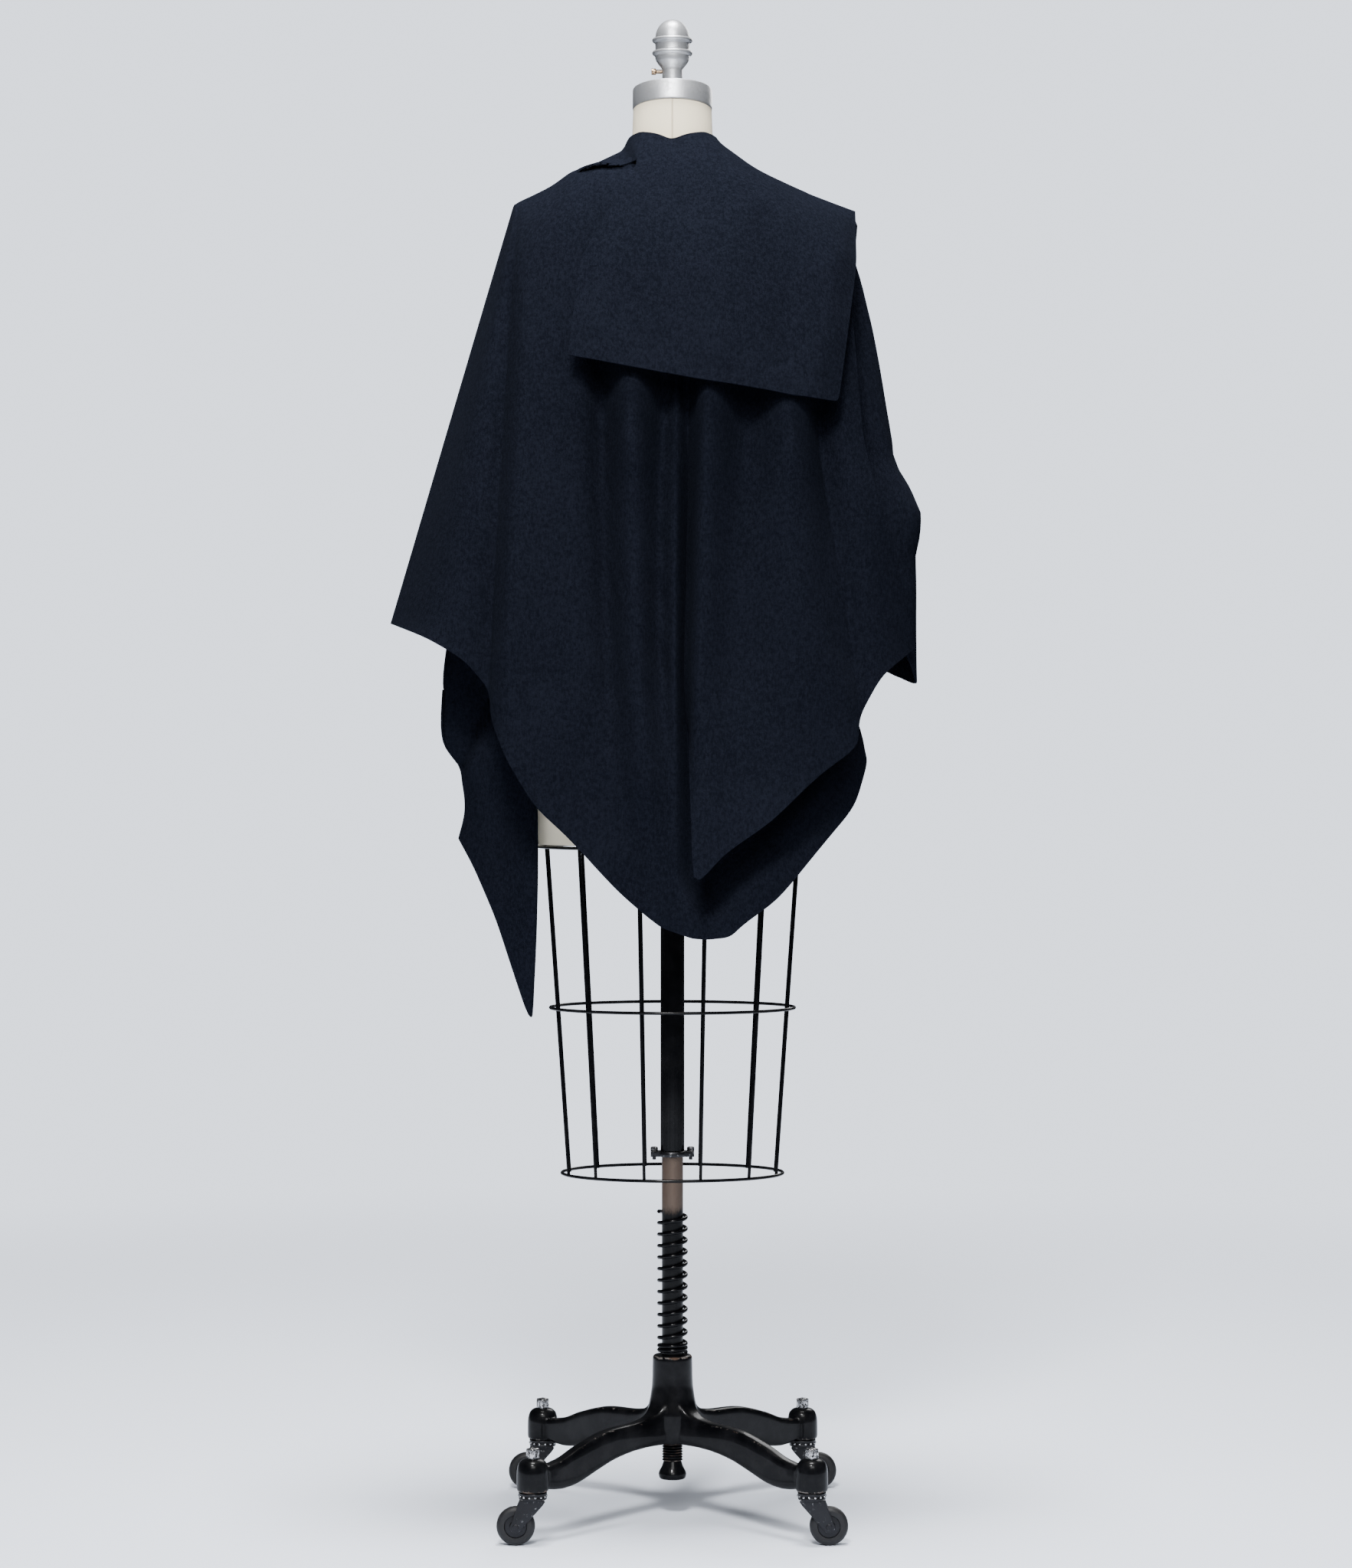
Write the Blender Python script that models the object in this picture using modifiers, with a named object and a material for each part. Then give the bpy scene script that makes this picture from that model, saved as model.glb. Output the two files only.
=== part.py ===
"""A sleeveless asymmetric felted wool jacket on a limbless dress form with a wheeled stand.

Metres, +Z up. The origin is on the floor under the pole. The jacket's back faces -Y, and +X is
to the right as that back is looked at.
"""
import math
from collections import namedtuple

import bmesh
import bpy
import numpy as np
from mathutils import Matrix, Vector

SEAM = 0.0003                # gap kept between pieces that touch
OBJECT_NAME = "asymmetric_jacket_on_dress_form"

# Cloth
WALL = 0.0024                # felted wool, one layer
BUST_Z = 1.20                # levels at which the cut tables give a width
HIP_Z = 0.93
SHOULDER_ROUND = 0.06        # drop over which the cloth turns from the shoulder line to the back
SECTION_POWER = 2.5          # squareness of a level section through the hanging cloth
BACK_DEPTH = ((1.55, 0.060), (1.50, 0.080), (1.46, 0.098), (1.40, 0.115), (1.30, 0.128),
              (1.15, 0.140), (0.95, 0.152), (0.75, 0.158), (0.60, 0.158))
FRONT_DEPTH = ((1.55, 0.055), (1.50, 0.066), (1.46, 0.085), (1.40, 0.105), (1.28, 0.128),
               (1.10, 0.132), (0.95, 0.135), (0.75, 0.135))
SIDE_WING = ((1.473, 0.178), (1.004, 0.3165), (0.60, 0.3165))
SIDE_LEFT = ((1.474, 0.1765), (1.20, 0.2205), (0.93, 0.261), (0.873, 0.2625), (0.80, 0.2625))
SIDE_RIGHT = ((1.466, 0.205), (1.417, 0.208), (1.335, 0.227), (1.25, 0.243), (1.188, 0.256),
              (1.152, 0.273), (1.128, 0.282), (1.105, 0.280), (1.079, 0.274), (0.935, 0.278))
RIDGE = 0.0006               # fronts start this far in front of the shoulder line
OPEN_SEAM = 0.0004           # half the gap along the middle back seam

# Form
TORSO_SECTIONS = ((0.757, 0.158, 0.105), (0.800, 0.163, 0.109), (0.870, 0.165, 0.112),
                  (0.950, 0.152, 0.104), (1.030, 0.130, 0.092), (1.080, 0.122, 0.087),
                  (1.140, 0.127, 0.092), (1.210, 0.141, 0.102), (1.280, 0.152, 0.108),
                  (1.340, 0.160, 0.104), (1.390, 0.168, 0.092), (1.430, 0.170, 0.077),
                  (1.455, 0.166, 0.065), (1.472, 0.1545, 0.0563), (1.488, 0.128, 0.048),
                  (1.500, 0.098, 0.043), (1.512, 0.060, 0.043), (1.524, 0.0455, 0.0445),
                  (1.550, 0.0450, 0.0450), (1.5785, 0.0440, 0.0440))
TORSO_SIDES = 26
NECK_TILT = math.radians(8)
CAP_RADIUS = 0.0445
CAP_Z = 1.5905
CAP_HALF = 0.0115
FINIAL_LIFT = 0.0020         # the turned foot clears the tipped cap
FINIAL_NECK = 0.0108
TOTAL_HEIGHT = 1.680

# Stand
TUBE_RADIUS = 0.0134
POLE_RADIUS = 0.0119
TUBE_BOTTOM = 0.4118
POLE_TOP = 0.690
CLAMP_Z = 0.4085
SPRING_BOTTOM = 0.1823
SPRING_TOP = 0.3455
SPRING_RADIUS = 0.0155
SPRING_WIRE = 0.0020
SPRING_TURNS = 11.5
SPRING_CLOSED_TURNS = 2.0
SPRING_STEPS = 8             # straight steps in one turn
HUB_TOP = 0.182
SOCKET_X = 0.1515
SOCKET_Y = 0.155
SOCKET_BOTTOM = 0.058
LEG_WIDTH = 0.017
WHEEL_RADIUS = 0.021
WHEEL_HALF = 0.0078
TRAIL = 0.0185
PIN_RADIUS = 0.0032

# Skirt cage
CAGE_WIRES = 12
WIRE_RADIUS = 0.0015
CAGE_LEVELS = ((0.7540, 0.1470, 0.0980), (0.573, 0.1340, 0.0890), (0.387, 0.1210, 0.0810))

Column = namedtuple("Column", "name top_x top_y top_z bust_x hip_x hem_x hem_z "
                              "bust_fold hip_fold hem_fold")
Strip = namedtuple("Strip", "name top middle hem")
TailStrip = namedtuple("TailStrip", "name top upper middle lower hem")
# A fall column: its top, x at neck level, x and stand-off at blade level, and its hem.
FallColumn = namedtuple("FallColumn", "name top_x top_y top_z neck_x blade_x hem_x hem_z "
                                      "blade_off hem_off")
NECK_LEVEL = 1.512
BLADE_LEVEL = 1.40
NECK_OFF = 0.006             # how far the fall stands off the back at neck level
SHOULDER_OFF = 0.003

# A fold is how far that column stands out of the plain section, or in where it is negative.
BACK_LEFT = (
    Column("side_edge", -0.178, 0.0, 1.473, -0.2587, -0.3165, -0.3165, 1.004, 0.0, 0.0, 0.0),
    Column("side_flat", -0.175, 0.0, 1.4745, -0.227, -0.270, -0.270, 0.986, 0.002, 0.004, 0.004),
    Column("side_slope", -0.173, 0.0, 1.476, -0.203, -0.228, -0.228, 0.962, -0.004, -0.006, -0.006),
    Column("side_valley", -0.170, 0.0, 1.4775, -0.189, -0.201, -0.201, 0.930, -0.014, -0.024, -0.024),
    Column("side_flank", -0.167, 0.0, 1.479, -0.182, -0.1975, -0.198, 0.897, -0.004, -0.004, -0.006),
    Column("side_ridge", -0.156, 0.0, 1.484, -0.169, -0.183, -0.181, 0.854, 0.007, 0.011, 0.011),
    Column("plain_outer", -0.136, 0.0, 1.494, -0.137, -0.147, -0.149, 0.801, 0.002, 0.003, 0.003),
    Column("plain_inner", -0.113, -0.026, 1.507, -0.107, -0.108, -0.111, 0.766, -0.003, -0.003, -0.002),
    Column("outer_valley", -0.084, -0.040, 1.513, -0.074, -0.066, -0.060, 0.710, -0.015, -0.013, -0.008),
    Column("outer_ridge", -0.048, -0.058, 1.507, -0.044, -0.036, -0.017, 0.674, 0.012, 0.010, 0.008),
    Column("middle_valley", -0.024, -0.060, 1.504, -0.013, -0.010, 0.006, 0.664, -0.010, -0.009, -0.006),
    Column("inner_ridge", 0.002, -0.060, 1.502, 0.005, 0.002, 0.021, 0.659, 0.001, 0.004, 0.002),
    Column("middle_seam", 0.023 - OPEN_SEAM, -0.060, 1.500, 0.0215 - OPEN_SEAM,
           0.013 - OPEN_SEAM, 0.039, 0.657, -0.012, -0.015, -0.010),
)
# The sling is the low part of the left back that runs on behind the right back to the hip.
SLING = (
    Strip("sling_1", (0.042, -0.142, 0.868), (0.050, -0.146, 0.765), (0.062, -0.150, 0.660)),
    Strip("sling_2", (0.068, -0.136, 0.872), (0.070, -0.142, 0.775), (0.079, -0.148, 0.675)),
    Strip("sling_3", (0.102, -0.120, 0.880), (0.110, -0.126, 0.790), (0.116, -0.130, 0.701)),
    Strip("sling_4", (0.136, -0.100, 0.888), (0.148, -0.100, 0.820), (0.163, -0.096, 0.756)),
    Strip("sling_5", (0.171, -0.068, 0.896), (0.187, -0.064, 0.845), (0.203, -0.050, 0.800)),
    Strip("sling_6", (0.193, -0.030, 0.902), (0.208, -0.022, 0.872), (0.219, -0.010, 0.848)),
    Strip("sling_7", (0.200, 0.012, 0.915), (0.213, 0.018, 0.890), (0.217, 0.022, 0.865)),
    Strip("sling_8", (0.196, 0.050, 0.940), (0.204, 0.055, 0.912), (0.208, 0.058, 0.885)),
)
BACK_RIGHT = (
    Column("middle_seam", 0.023 + OPEN_SEAM, -0.060, 1.500, 0.0215 + OPEN_SEAM,
           0.015 + OPEN_SEAM, 0.022, 0.728, -0.012, -0.015, 0.034),
    Column("middle_ridge", 0.040, -0.056, 1.498, 0.039, 0.027, 0.030, 0.723, 0.012, 0.004, 0.036),
    Column("inner_valley", 0.070, -0.052, 1.496, 0.081, 0.061, 0.058, 0.753, -0.012, -0.002, 0.028),
    Column("inner_ridge", 0.104, -0.042, 1.488, 0.124, 0.115, 0.107, 0.786, 0.014, 0.004, 0.022),
    Column("deep_flank", 0.130, -0.030, 1.478, 0.149, 0.168, 0.157, 0.834, 0.006, 0.004, 0.010),
    Column("deep_corner", 0.136, -0.028, 1.475, 0.155, 0.196, 0.203, 0.867, 0.000, 0.004, 0.004),
    Column("deep_valley", 0.144, -0.026, 1.472, 0.161, 0.204, 0.205, 0.900, -0.026, -0.014, -0.012),
    Column("side_ridge", 0.165, -0.022, 1.460, 0.185, 0.230, 0.230, 0.945, 0.004, 0.002, 0.000),
    Column("side_edge", 0.190, -0.022, 1.448, 0.210, 0.270, 0.270, 0.976, 0.000, 0.000, 0.000),
)
FRONT_LEFT = (
    Column("middle_edge", -0.0002, 0.0500, 1.528, -0.0002, -0.0002, -0.0002, 0.800, 0.0, 0.0, 0.0),
    Column("neck_front", -0.032, 0.0385, 1.533, -0.065, -0.075, -0.075, 0.800, 0.004, 0.010, 0.010),
    Column("neck_side", -0.0470, 0.0190, 1.541, -0.120, -0.140, -0.140, 0.806, -0.003, -0.006, -0.008),
    Column("neck_corner", -0.056, 0.0, 1.534, -0.165, -0.185, -0.185, 0.815, 0.004, 0.008, 0.008),
    Column("shoulder_inner", -0.102, 0.0, 1.5125, -0.195, -0.222, -0.215, 0.822, -0.002, -0.004, -0.004),
    Column("shoulder_middle", -0.140, 0.0, 1.4915, -0.212, -0.247, -0.240, 0.838, 0.0, 0.0, 0.0),
    Column("shoulder_tip", -0.1765, 0.0, 1.474, -0.2205, -0.261, -0.2625, 0.873, 0.0, 0.0, 0.0),
)
FRONT_RIGHT = (
    Column("middle_edge", 0.0002, 0.0500, 1.528, 0.0002, 0.0002, 0.0002, 0.800, 0.0, 0.0, 0.0),
    Column("neck_front", 0.032, 0.0385, 1.533, 0.060, 0.070, 0.070, 0.805, 0.005, 0.010, 0.010),
    Column("neck_side", 0.0470, 0.0190, 1.543, 0.115, 0.130, 0.130, 0.815, -0.003, -0.006, -0.006),
    Column("neck_corner", 0.054, 0.0, 1.5425, 0.165, 0.185, 0.185, 0.845, 0.004, 0.008, 0.008),
    Column("shoulder_inner", 0.094, 0.0, 1.513, 0.205, 0.225, 0.225, 0.875, -0.003, -0.005, -0.005),
    Column("shoulder_middle", 0.150, 0.0, 1.487, 0.238, 0.255, 0.255, 0.910, 0.002, 0.003, 0.003),
    Column("shoulder_tip", 0.2045, 0.0, 1.466, 0.2535, 0.2775, 0.2775, 0.935, 0.0, 0.0, 0.0),
)
# The back edge of the right front turns in behind the right back below the collar fall.
FRONT_RIGHT_RETURN = (
    Strip("return_1", (0.206, -0.020, 1.325), (0.258, -0.024, 1.120), (0.264, -0.022, 0.944)),
    Strip("return_2", (0.186, -0.040, 1.325), (0.222, -0.046, 1.120), (0.240, -0.040, 0.955)),
)
FALL = (
    FallColumn("left_edge", -0.0485, -0.010, 1.548, -0.036, -0.100, -0.113, 1.291, 0.020, 0.030),
    FallColumn("left_wing", -0.036, -0.0345, 1.550, -0.022, -0.078, -0.092, 1.287, 0.021, 0.032),
    FallColumn("left_slope", -0.017, -0.0470, 1.546, -0.008, -0.048, -0.062, 1.281, 0.022, 0.034),
    FallColumn("notch", -0.001, -0.0500, 1.539, 0.004, -0.018, -0.031, 1.275, 0.022, 0.034),
    FallColumn("right_slope", 0.017, -0.0470, 1.546, 0.018, 0.008, 0.002, 1.269, 0.022, 0.034),
    FallColumn("right_wing", 0.036, -0.0345, 1.550, 0.035, 0.038, 0.035, 1.263, 0.022, 0.034),
    FallColumn("neck_side", 0.0485, -0.0120, 1.548, 0.053, 0.066, 0.064, 1.259, 0.022, 0.034),
    FallColumn("neck_corner", 0.054, 0.0, 1.5425, 0.065, 0.088, 0.088, 1.255, 0.022, 0.034),
    FallColumn("shoulder_1", 0.071, 0.0, 1.529, 0.080, 0.106, 0.108, 1.252, 0.022, 0.034),
    FallColumn("shoulder_2", 0.094, 0.0, 1.513, 0.100, 0.126, 0.128, 1.248, 0.022, 0.034),
    FallColumn("shoulder_3", 0.128, 0.0, 1.496, 0.130, 0.147, 0.147, 1.246, 0.022, 0.034),
    FallColumn("shoulder_4", 0.157, 0.0, 1.484, 0.158, 0.169, 0.163, 1.244, 0.022, 0.032),
    FallColumn("shoulder_5", 0.186, 0.0, 1.473, 0.187, 0.189, 0.174, 1.243, 0.021, 0.030),
    FallColumn("right_edge", 0.205, 0.0, 1.466, 0.206, 0.2035, 0.181, 1.243, 0.020, 0.028),
)
# Left of the fall the collar runs on over the shoulder, tucked under the slit in the left back.
COLLAR_STRIP = (
    Strip("collar_tip", (-0.118, 0.0, 1.505), (-0.117, -0.009, 1.502), (-0.116, -0.015, 1.495)),
    Strip("collar_low", (-0.102, 0.0, 1.5125), (-0.102, -0.015, 1.508), (-0.102, -0.026, 1.498)),
    Strip("collar_middle", (-0.071, 0.0, 1.526), (-0.071, -0.021, 1.519), (-0.071, -0.036, 1.503)),
    Strip("collar_corner", (-0.056, 0.0, 1.534), (-0.053, -0.028, 1.526), (-0.051, -0.047, 1.511)),
)
LEFT_TAIL = (
    TailStrip("outer_edge", (-0.261, 0.0, 0.925), (-0.2625, 0.0, 0.880), (-0.240, -0.001, 0.842),
              (-0.233, -0.0035, 0.798), (-0.2405, -0.004, 0.763)),
    TailStrip("outer_face", (-0.236, -0.020, 0.925), (-0.236, -0.022, 0.872), (-0.222, -0.022, 0.822),
              (-0.215, -0.024, 0.775), (-0.222, -0.022, 0.731)),
    TailStrip("middle_face", (-0.205, -0.034, 0.925), (-0.203, -0.036, 0.860), (-0.195, -0.038, 0.800),
              (-0.193, -0.040, 0.738), (-0.197, -0.038, 0.675)),
    TailStrip("inner_face", (-0.178, -0.050, 0.925), (-0.174, -0.054, 0.850), (-0.170, -0.056, 0.775),
              (-0.171, -0.054, 0.695), (-0.178, -0.048, 0.618)),
    TailStrip("point", (-0.160, -0.062, 0.925), (-0.155, -0.066, 0.835), (-0.153, -0.063, 0.748),
              (-0.155, -0.060, 0.660), (-0.1625, -0.052, 0.572)),
    TailStrip("turn", (-0.154, -0.058, 0.925), (-0.149, -0.061, 0.833), (-0.148, -0.0575, 0.743),
              (-0.150, -0.055, 0.652), (-0.1545, -0.0475, 0.562)),
    TailStrip("under_layer", (-0.157, -0.051, 0.925), (-0.153, -0.054, 0.840), (-0.152, -0.050, 0.762),
              (-0.1525, -0.047, 0.700), (-0.155, -0.041, 0.640)),
)


def clear_scene():
    """Empty the file and give the two collections: pieces and cutters."""
    for old in list(bpy.data.objects):
        bpy.data.objects.remove(old, do_unlink=True)
    for old in list(bpy.data.collections):
        bpy.data.collections.remove(old)
    pieces = bpy.data.collections.new(OBJECT_NAME)
    cutters = bpy.data.collections.new("cutters")
    bpy.context.scene.collection.children.link(pieces)
    bpy.context.scene.collection.children.link(cutters)
    return pieces, cutters


PIECES, CUTTERS = clear_scene()


def finish(name, colour, roughness, metallic=0.0):
    """A plain material of one colour."""
    material = bpy.data.materials.new(name)
    material.use_nodes = True
    shader = material.node_tree.nodes["Principled BSDF"]
    shader.inputs["Base Color"].default_value = (*colour, 1.0)
    shader.inputs["Roughness"].default_value = roughness
    shader.inputs["Metallic"].default_value = metallic
    return material


FELT = finish("navy_felt", (0.006, 0.008, 0.016), 0.95)
LINEN = finish("cream_linen", (0.72, 0.62, 0.47), 0.85)
SILVER = finish("brushed_silver", (0.55, 0.56, 0.58), 0.38, 1.0)
BRASS = finish("aged_brass", (0.35, 0.20, 0.10), 0.45, 1.0)
BLACK_STEEL = finish("black_steel", (0.012, 0.012, 0.014), 0.30, 0.4)
BLACK_IRON = finish("black_iron", (0.010, 0.011, 0.013), 0.35, 0.3)
BROWN_STEEL = finish("brown_steel", (0.10, 0.065, 0.045), 0.55, 0.8)
DARK_STEEL = finish("dark_steel", (0.05, 0.05, 0.055), 0.40, 0.9)
RUBBER = finish("black_rubber", (0.015, 0.015, 0.017), 0.60)


def place(name, mesh, material, location=(0, 0, 0), collection=PIECES, smooth_angle=40):
    """Put a mesh in the scene as a named piece."""
    mesh.shade_smooth()
    mesh.set_sharp_from_angle(angle=math.radians(smooth_angle))
    piece = bpy.data.objects.new(name, mesh)
    piece.location = location
    if material is not None:
        mesh.materials.append(material)
    collection.objects.link(piece)
    return piece


def mesh_from(build, name):
    """A mesh from a function that fills a bmesh."""
    bm = bmesh.new()
    build(bm)
    mesh = bpy.data.meshes.new(name)
    bm.to_mesh(mesh)
    bm.free()
    return mesh


def turned(name, profile, material, location=(0, 0, 0), steps=28):
    """A piece turned about its own Z axis from (radius, height) points, outer side top to bottom."""
    def outline(bm):
        points = [bm.verts.new((radius, 0, height)) for radius, height in profile]
        for a, b in zip(points, points[1:]):
            bm.edges.new((a, b))
    piece = place(name, mesh_from(outline, name), material, location)
    screw = piece.modifiers.new("turn", "SCREW")
    screw.steps = steps
    screw.render_steps = steps
    screw.use_merge_vertices = True
    screw.merge_threshold = 0.00001
    return piece


def drum(name, radius, bottom, top, material, location=(0, 0, 0), bore=0.0, bevel=0.0006, steps=28):
    """A turned disc or ring with small bevels."""
    outer = [(radius - bevel, top), (radius, top - bevel), (radius, bottom + bevel),
             (radius - bevel, bottom)]
    if bore:
        profile = [(bore, top)] + outer + [(bore, bottom), (bore, top)]
    else:
        profile = [(0, top)] + outer + [(0, bottom)]
    return turned(name, profile, material, location, steps)


def wire(name, points, radius, material, closed=False, resolution=1):
    """A round wire through points."""
    curve = bpy.data.curves.new(name, "CURVE")
    curve.dimensions = "3D"
    curve.bevel_depth = radius
    curve.bevel_resolution = resolution
    curve.use_fill_caps = not closed
    spline = curve.splines.new("POLY")
    spline.points.add(len(points) - 1)
    for spot, point in zip(spline.points, points):
        spot.co = (*point, 1.0)
    spline.use_cyclic_u = closed
    spline.use_smooth = True
    piece = bpy.data.objects.new(name, curve)
    curve.materials.append(material)
    PIECES.objects.link(piece)
    return piece


def box_mesh(name, low, high):
    """A box between two corners."""
    low = Vector(low)
    high = Vector(high)
    centre = (low + high) / 2
    size = high - low

    def build(bm):
        bmesh.ops.create_cube(bm, size=1.0, matrix=Matrix.Translation(centre) @ Matrix.Diagonal((*size, 1.0)))
    return mesh_from(build, name)


def cutter(name, mesh, location=(0, 0, 0)):
    """A hidden body for a Boolean."""
    piece = place(name, mesh, None, location, CUTTERS)
    piece.hide_render = True
    piece.display_type = "WIRE"
    return piece


def boolean(piece, other, operation):
    """Add a Boolean of another object to a piece."""
    step = piece.modifiers.new(other.name, "BOOLEAN")
    step.operation = operation
    step.object = other
    step.solver = "EXACT"


def at_level(table, z):
    """The value of a (height, value) table at a height."""
    ordered = sorted(table)
    return float(np.interp(z, [row[0] for row in ordered], [row[1] for row in ordered]))


def smooth_between(values, parts):
    """Evenly spaced values with monotone curves through them: no curve passes its end values."""
    values = np.asarray(values, float)
    steps = np.diff(values, axis=0)
    slopes = np.zeros_like(values)
    slopes[0] = steps[0]
    slopes[-1] = steps[-1]
    product = steps[:-1] * steps[1:]
    total = steps[:-1] + steps[1:]
    safe = np.where(product > 0, total, 1.0)
    slopes[1:-1] = np.where(product > 0, 2 * product / safe, 0.0)
    rows = []
    for index in range(len(steps)):
        for part in range(parts):
            u = part / parts
            rows.append(values[index] * (1 + 2 * u) * (1 - u) ** 2 + slopes[index] * u * (1 - u) ** 2
                        + values[index + 1] * u * u * (3 - 2 * u) + slopes[index + 1] * u * u * (u - 1))
    rows.append(values[-1])
    return np.array(rows)


def straight_between(values, parts):
    """Evenly spaced values on straight lines through the given ones."""
    values = np.asarray(values, float)
    spots = np.linspace(0, len(values) - 1, (len(values) - 1) * parts + 1)
    low = np.minimum(spots.astype(int), len(values) - 2)
    share = (spots - low).reshape((-1,) + (1,) * (values.ndim - 1))
    return values[low] * (1 - share) + values[low + 1] * share


def section_share(x, half):
    """How much of the full depth a level section has at x: 1 in the middle, 0 at the side."""
    across = min(abs(x) / half, 1.0)
    return (1.0 - across ** SECTION_POWER) ** (1.0 / SECTION_POWER)


def shoulder_turn(drop):
    """The quarter round by which cloth turns over a shoulder line, from 0 to 1."""
    share = min(max(drop / SHOULDER_ROUND, 0.0), 1.0)
    return math.sqrt(1.0 - (1.0 - share) ** 2)


def levels(column):
    """Heights and values of a hanging column: top, bust, hip where the column reaches it, and hem."""
    rows = [(column.top_z, column.top_x, 0.0), (BUST_Z, column.bust_x, column.bust_fold)]
    if column.hem_z < HIP_Z - 0.01:
        rows.append((HIP_Z, column.hip_x, column.hip_fold))
    rows.append((column.hem_z, column.hem_x, column.hem_fold))
    return rows[::-1]


def hanging_column(column, heights, depth, halves, side):
    """Points of one column that hangs from the shoulder line on the back (-1) or front (+1)."""
    rows = levels(column)
    z_levels = [row[0] for row in rows]
    points = []
    for z in heights:
        x = float(np.interp(z, z_levels, [row[1] for row in rows]))
        fold = float(np.interp(z, z_levels, [row[2] for row in rows]))
        half = at_level(halves, z)
        plain = side * at_level(depth, z) * section_share(x, half)
        y = column.top_y + (plain - column.top_y) * shoulder_turn(column.top_z - z) + side * fold
        if abs(x) > half - 0.0005:
            y = column.top_y
        points.append((x, y, z))
    return points


def fall_column(column, heights):
    """Points of one column of the collar fall, which stands off the back more and more."""
    z_levels = [column.hem_z, BLADE_LEVEL, column.top_z]
    x_values = [column.hem_x, column.blade_x, column.top_x]
    offsets = [column.hem_off, column.blade_off, SHOULDER_OFF]
    if column.top_z > NECK_LEVEL:
        z_levels[2:] = [NECK_LEVEL, column.top_z]
        x_values[2:] = [column.neck_x, column.top_x]
        offsets[2:] = [NECK_OFF, 0.0]
    points = []
    for z in heights:
        x = float(np.interp(z, z_levels, x_values))
        offset = float(np.interp(z, z_levels, offsets))
        half = at_level(SIDE_WING if x < 0 else SIDE_RIGHT, z)
        plain = -at_level(BACK_DEPTH, z) * section_share(x, half) - offset
        points.append((x, column.top_y + (plain - column.top_y) * shoulder_turn(column.top_z - z), z))
    return points


def strip_points(strip, shares):
    """Points of a short column given by three points, on a smooth curve from top to hem."""
    rows = []
    top = np.array(strip.top)
    middle = np.array(strip.middle)
    hem = np.array(strip.hem)
    for share in shares:
        rows.append(top * (2 * share - 1) * (share - 1) + middle * 4 * share * (1 - share)
                    + hem * share * (2 * share - 1))
    return rows


def refine(columns, parts):
    """More columns between the given ones: straight in outline, smooth in depth.

    Each column is (points, first row, last row). A column between two has the rows of both.
    """
    grid = np.array([points for points, first, last in columns], float)
    fine = straight_between(grid, parts)
    fine[..., 1] = smooth_between(grid[..., 1], parts)
    spans = []
    for index in range(len(fine)):
        low = columns[index // parts]
        high = columns[-(-index // parts)]
        spans.append((max(low[1], high[1]), min(low[2], high[2])))
    return fine, spans


def cloth(name, grid, spans, seams=()):
    """A wall of even thickness inside a grid of outer points, columns by rows.

    A seam names an edge and the direction to its neighbour, which the edge's end faces square on.
    """
    def build(bm):
        outside = {}
        for c, (first, last) in enumerate(spans):
            for r in range(first, last + 1):
                outside[c, r] = bm.verts.new(grid[c, r])
        for c, r in list(outside):
            corners = [(c, r), (c, r + 1), (c + 1, r + 1), (c + 1, r)]
            if all(corner in outside for corner in corners):
                bm.faces.new([outside[corner] for corner in corners])
        bm.normal_update()
        faces = list(bm.faces)
        rim = [edge.link_loops[0] for edge in bm.edges if edge.is_boundary]
        rim = [(loop.vert, loop.link_loop_next.vert) for loop in rim]
        edges = {"first": lambda c, r: c == 0, "last": lambda c, r: c == len(spans) - 1,
                 "top": lambda c, r: r == 0}
        twin = {}
        for (c, r), vert in outside.items():
            inward = -vert.normal
            for edge, direction in seams:
                if edges[edge](c, r):
                    inward = inward - inward.dot(Vector(direction)) * Vector(direction)
            twin[vert] = bm.verts.new(vert.co + inward.normalized() * WALL)
        for face in faces:
            bm.faces.new([twin[vert] for vert in reversed(face.verts)])
        for a, b in rim:
            bm.faces.new((b, a, twin[a], twin[b]))
    return place(name, mesh_from(build, name), FELT)


def row_shares(rows, crowd=1.35):
    """Shares of a column's height, closer together near the top."""
    return [(row / rows) ** crowd for row in range(rows + 1)]


def column_heights(column, shares):
    """Heights of a column's points."""
    return [column.top_z + (column.hem_z - column.top_z) * share for share in shares]


def row_at(shares, share):
    """The row nearest to a share of the height."""
    return min(range(len(shares)), key=lambda row: abs(shares[row] - share))


def full_columns(table, shares, depth, halves, side):
    """Columns that reach from the shoulder line to the hem."""
    return [(hanging_column(column, column_heights(column, shares), depth, halves, side),
             0, len(shares) - 1) for column in table]


def low_columns(strips, shares, first_row, neighbour):
    """Columns that start at a row; above it they repeat their neighbour and aren't built."""
    start = shares[first_row]
    local = [(share - start) / (1 - start) for share in shares[first_row:]]
    above = list(neighbour[0][:first_row])
    return [(above + strip_points(strip, local), first_row, len(shares) - 1) for strip in strips]


def back_left_panel():
    """Left back with its two stepped hems, and the sling that runs on behind the right back."""
    shares = row_shares(19)
    main = full_columns(BACK_LEFT, shares, BACK_DEPTH, SIDE_WING, -1)
    sling = low_columns(SLING, shares, row_at(shares, 0.75), main[-1])
    cloth("back_left_panel", *refine(main + sling, 2),
          seams=(("first", (0, 1, 0)), ("top", (0, 1, 0))))


def back_right_panel():
    """Right back, ending in a point that hangs free of the sling."""
    main = full_columns(BACK_RIGHT, row_shares(18), BACK_DEPTH, SIDE_RIGHT, -1)
    cloth("back_right_panel", *refine(main, 2), seams=(("first", (1, 0, 0)),))


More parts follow.
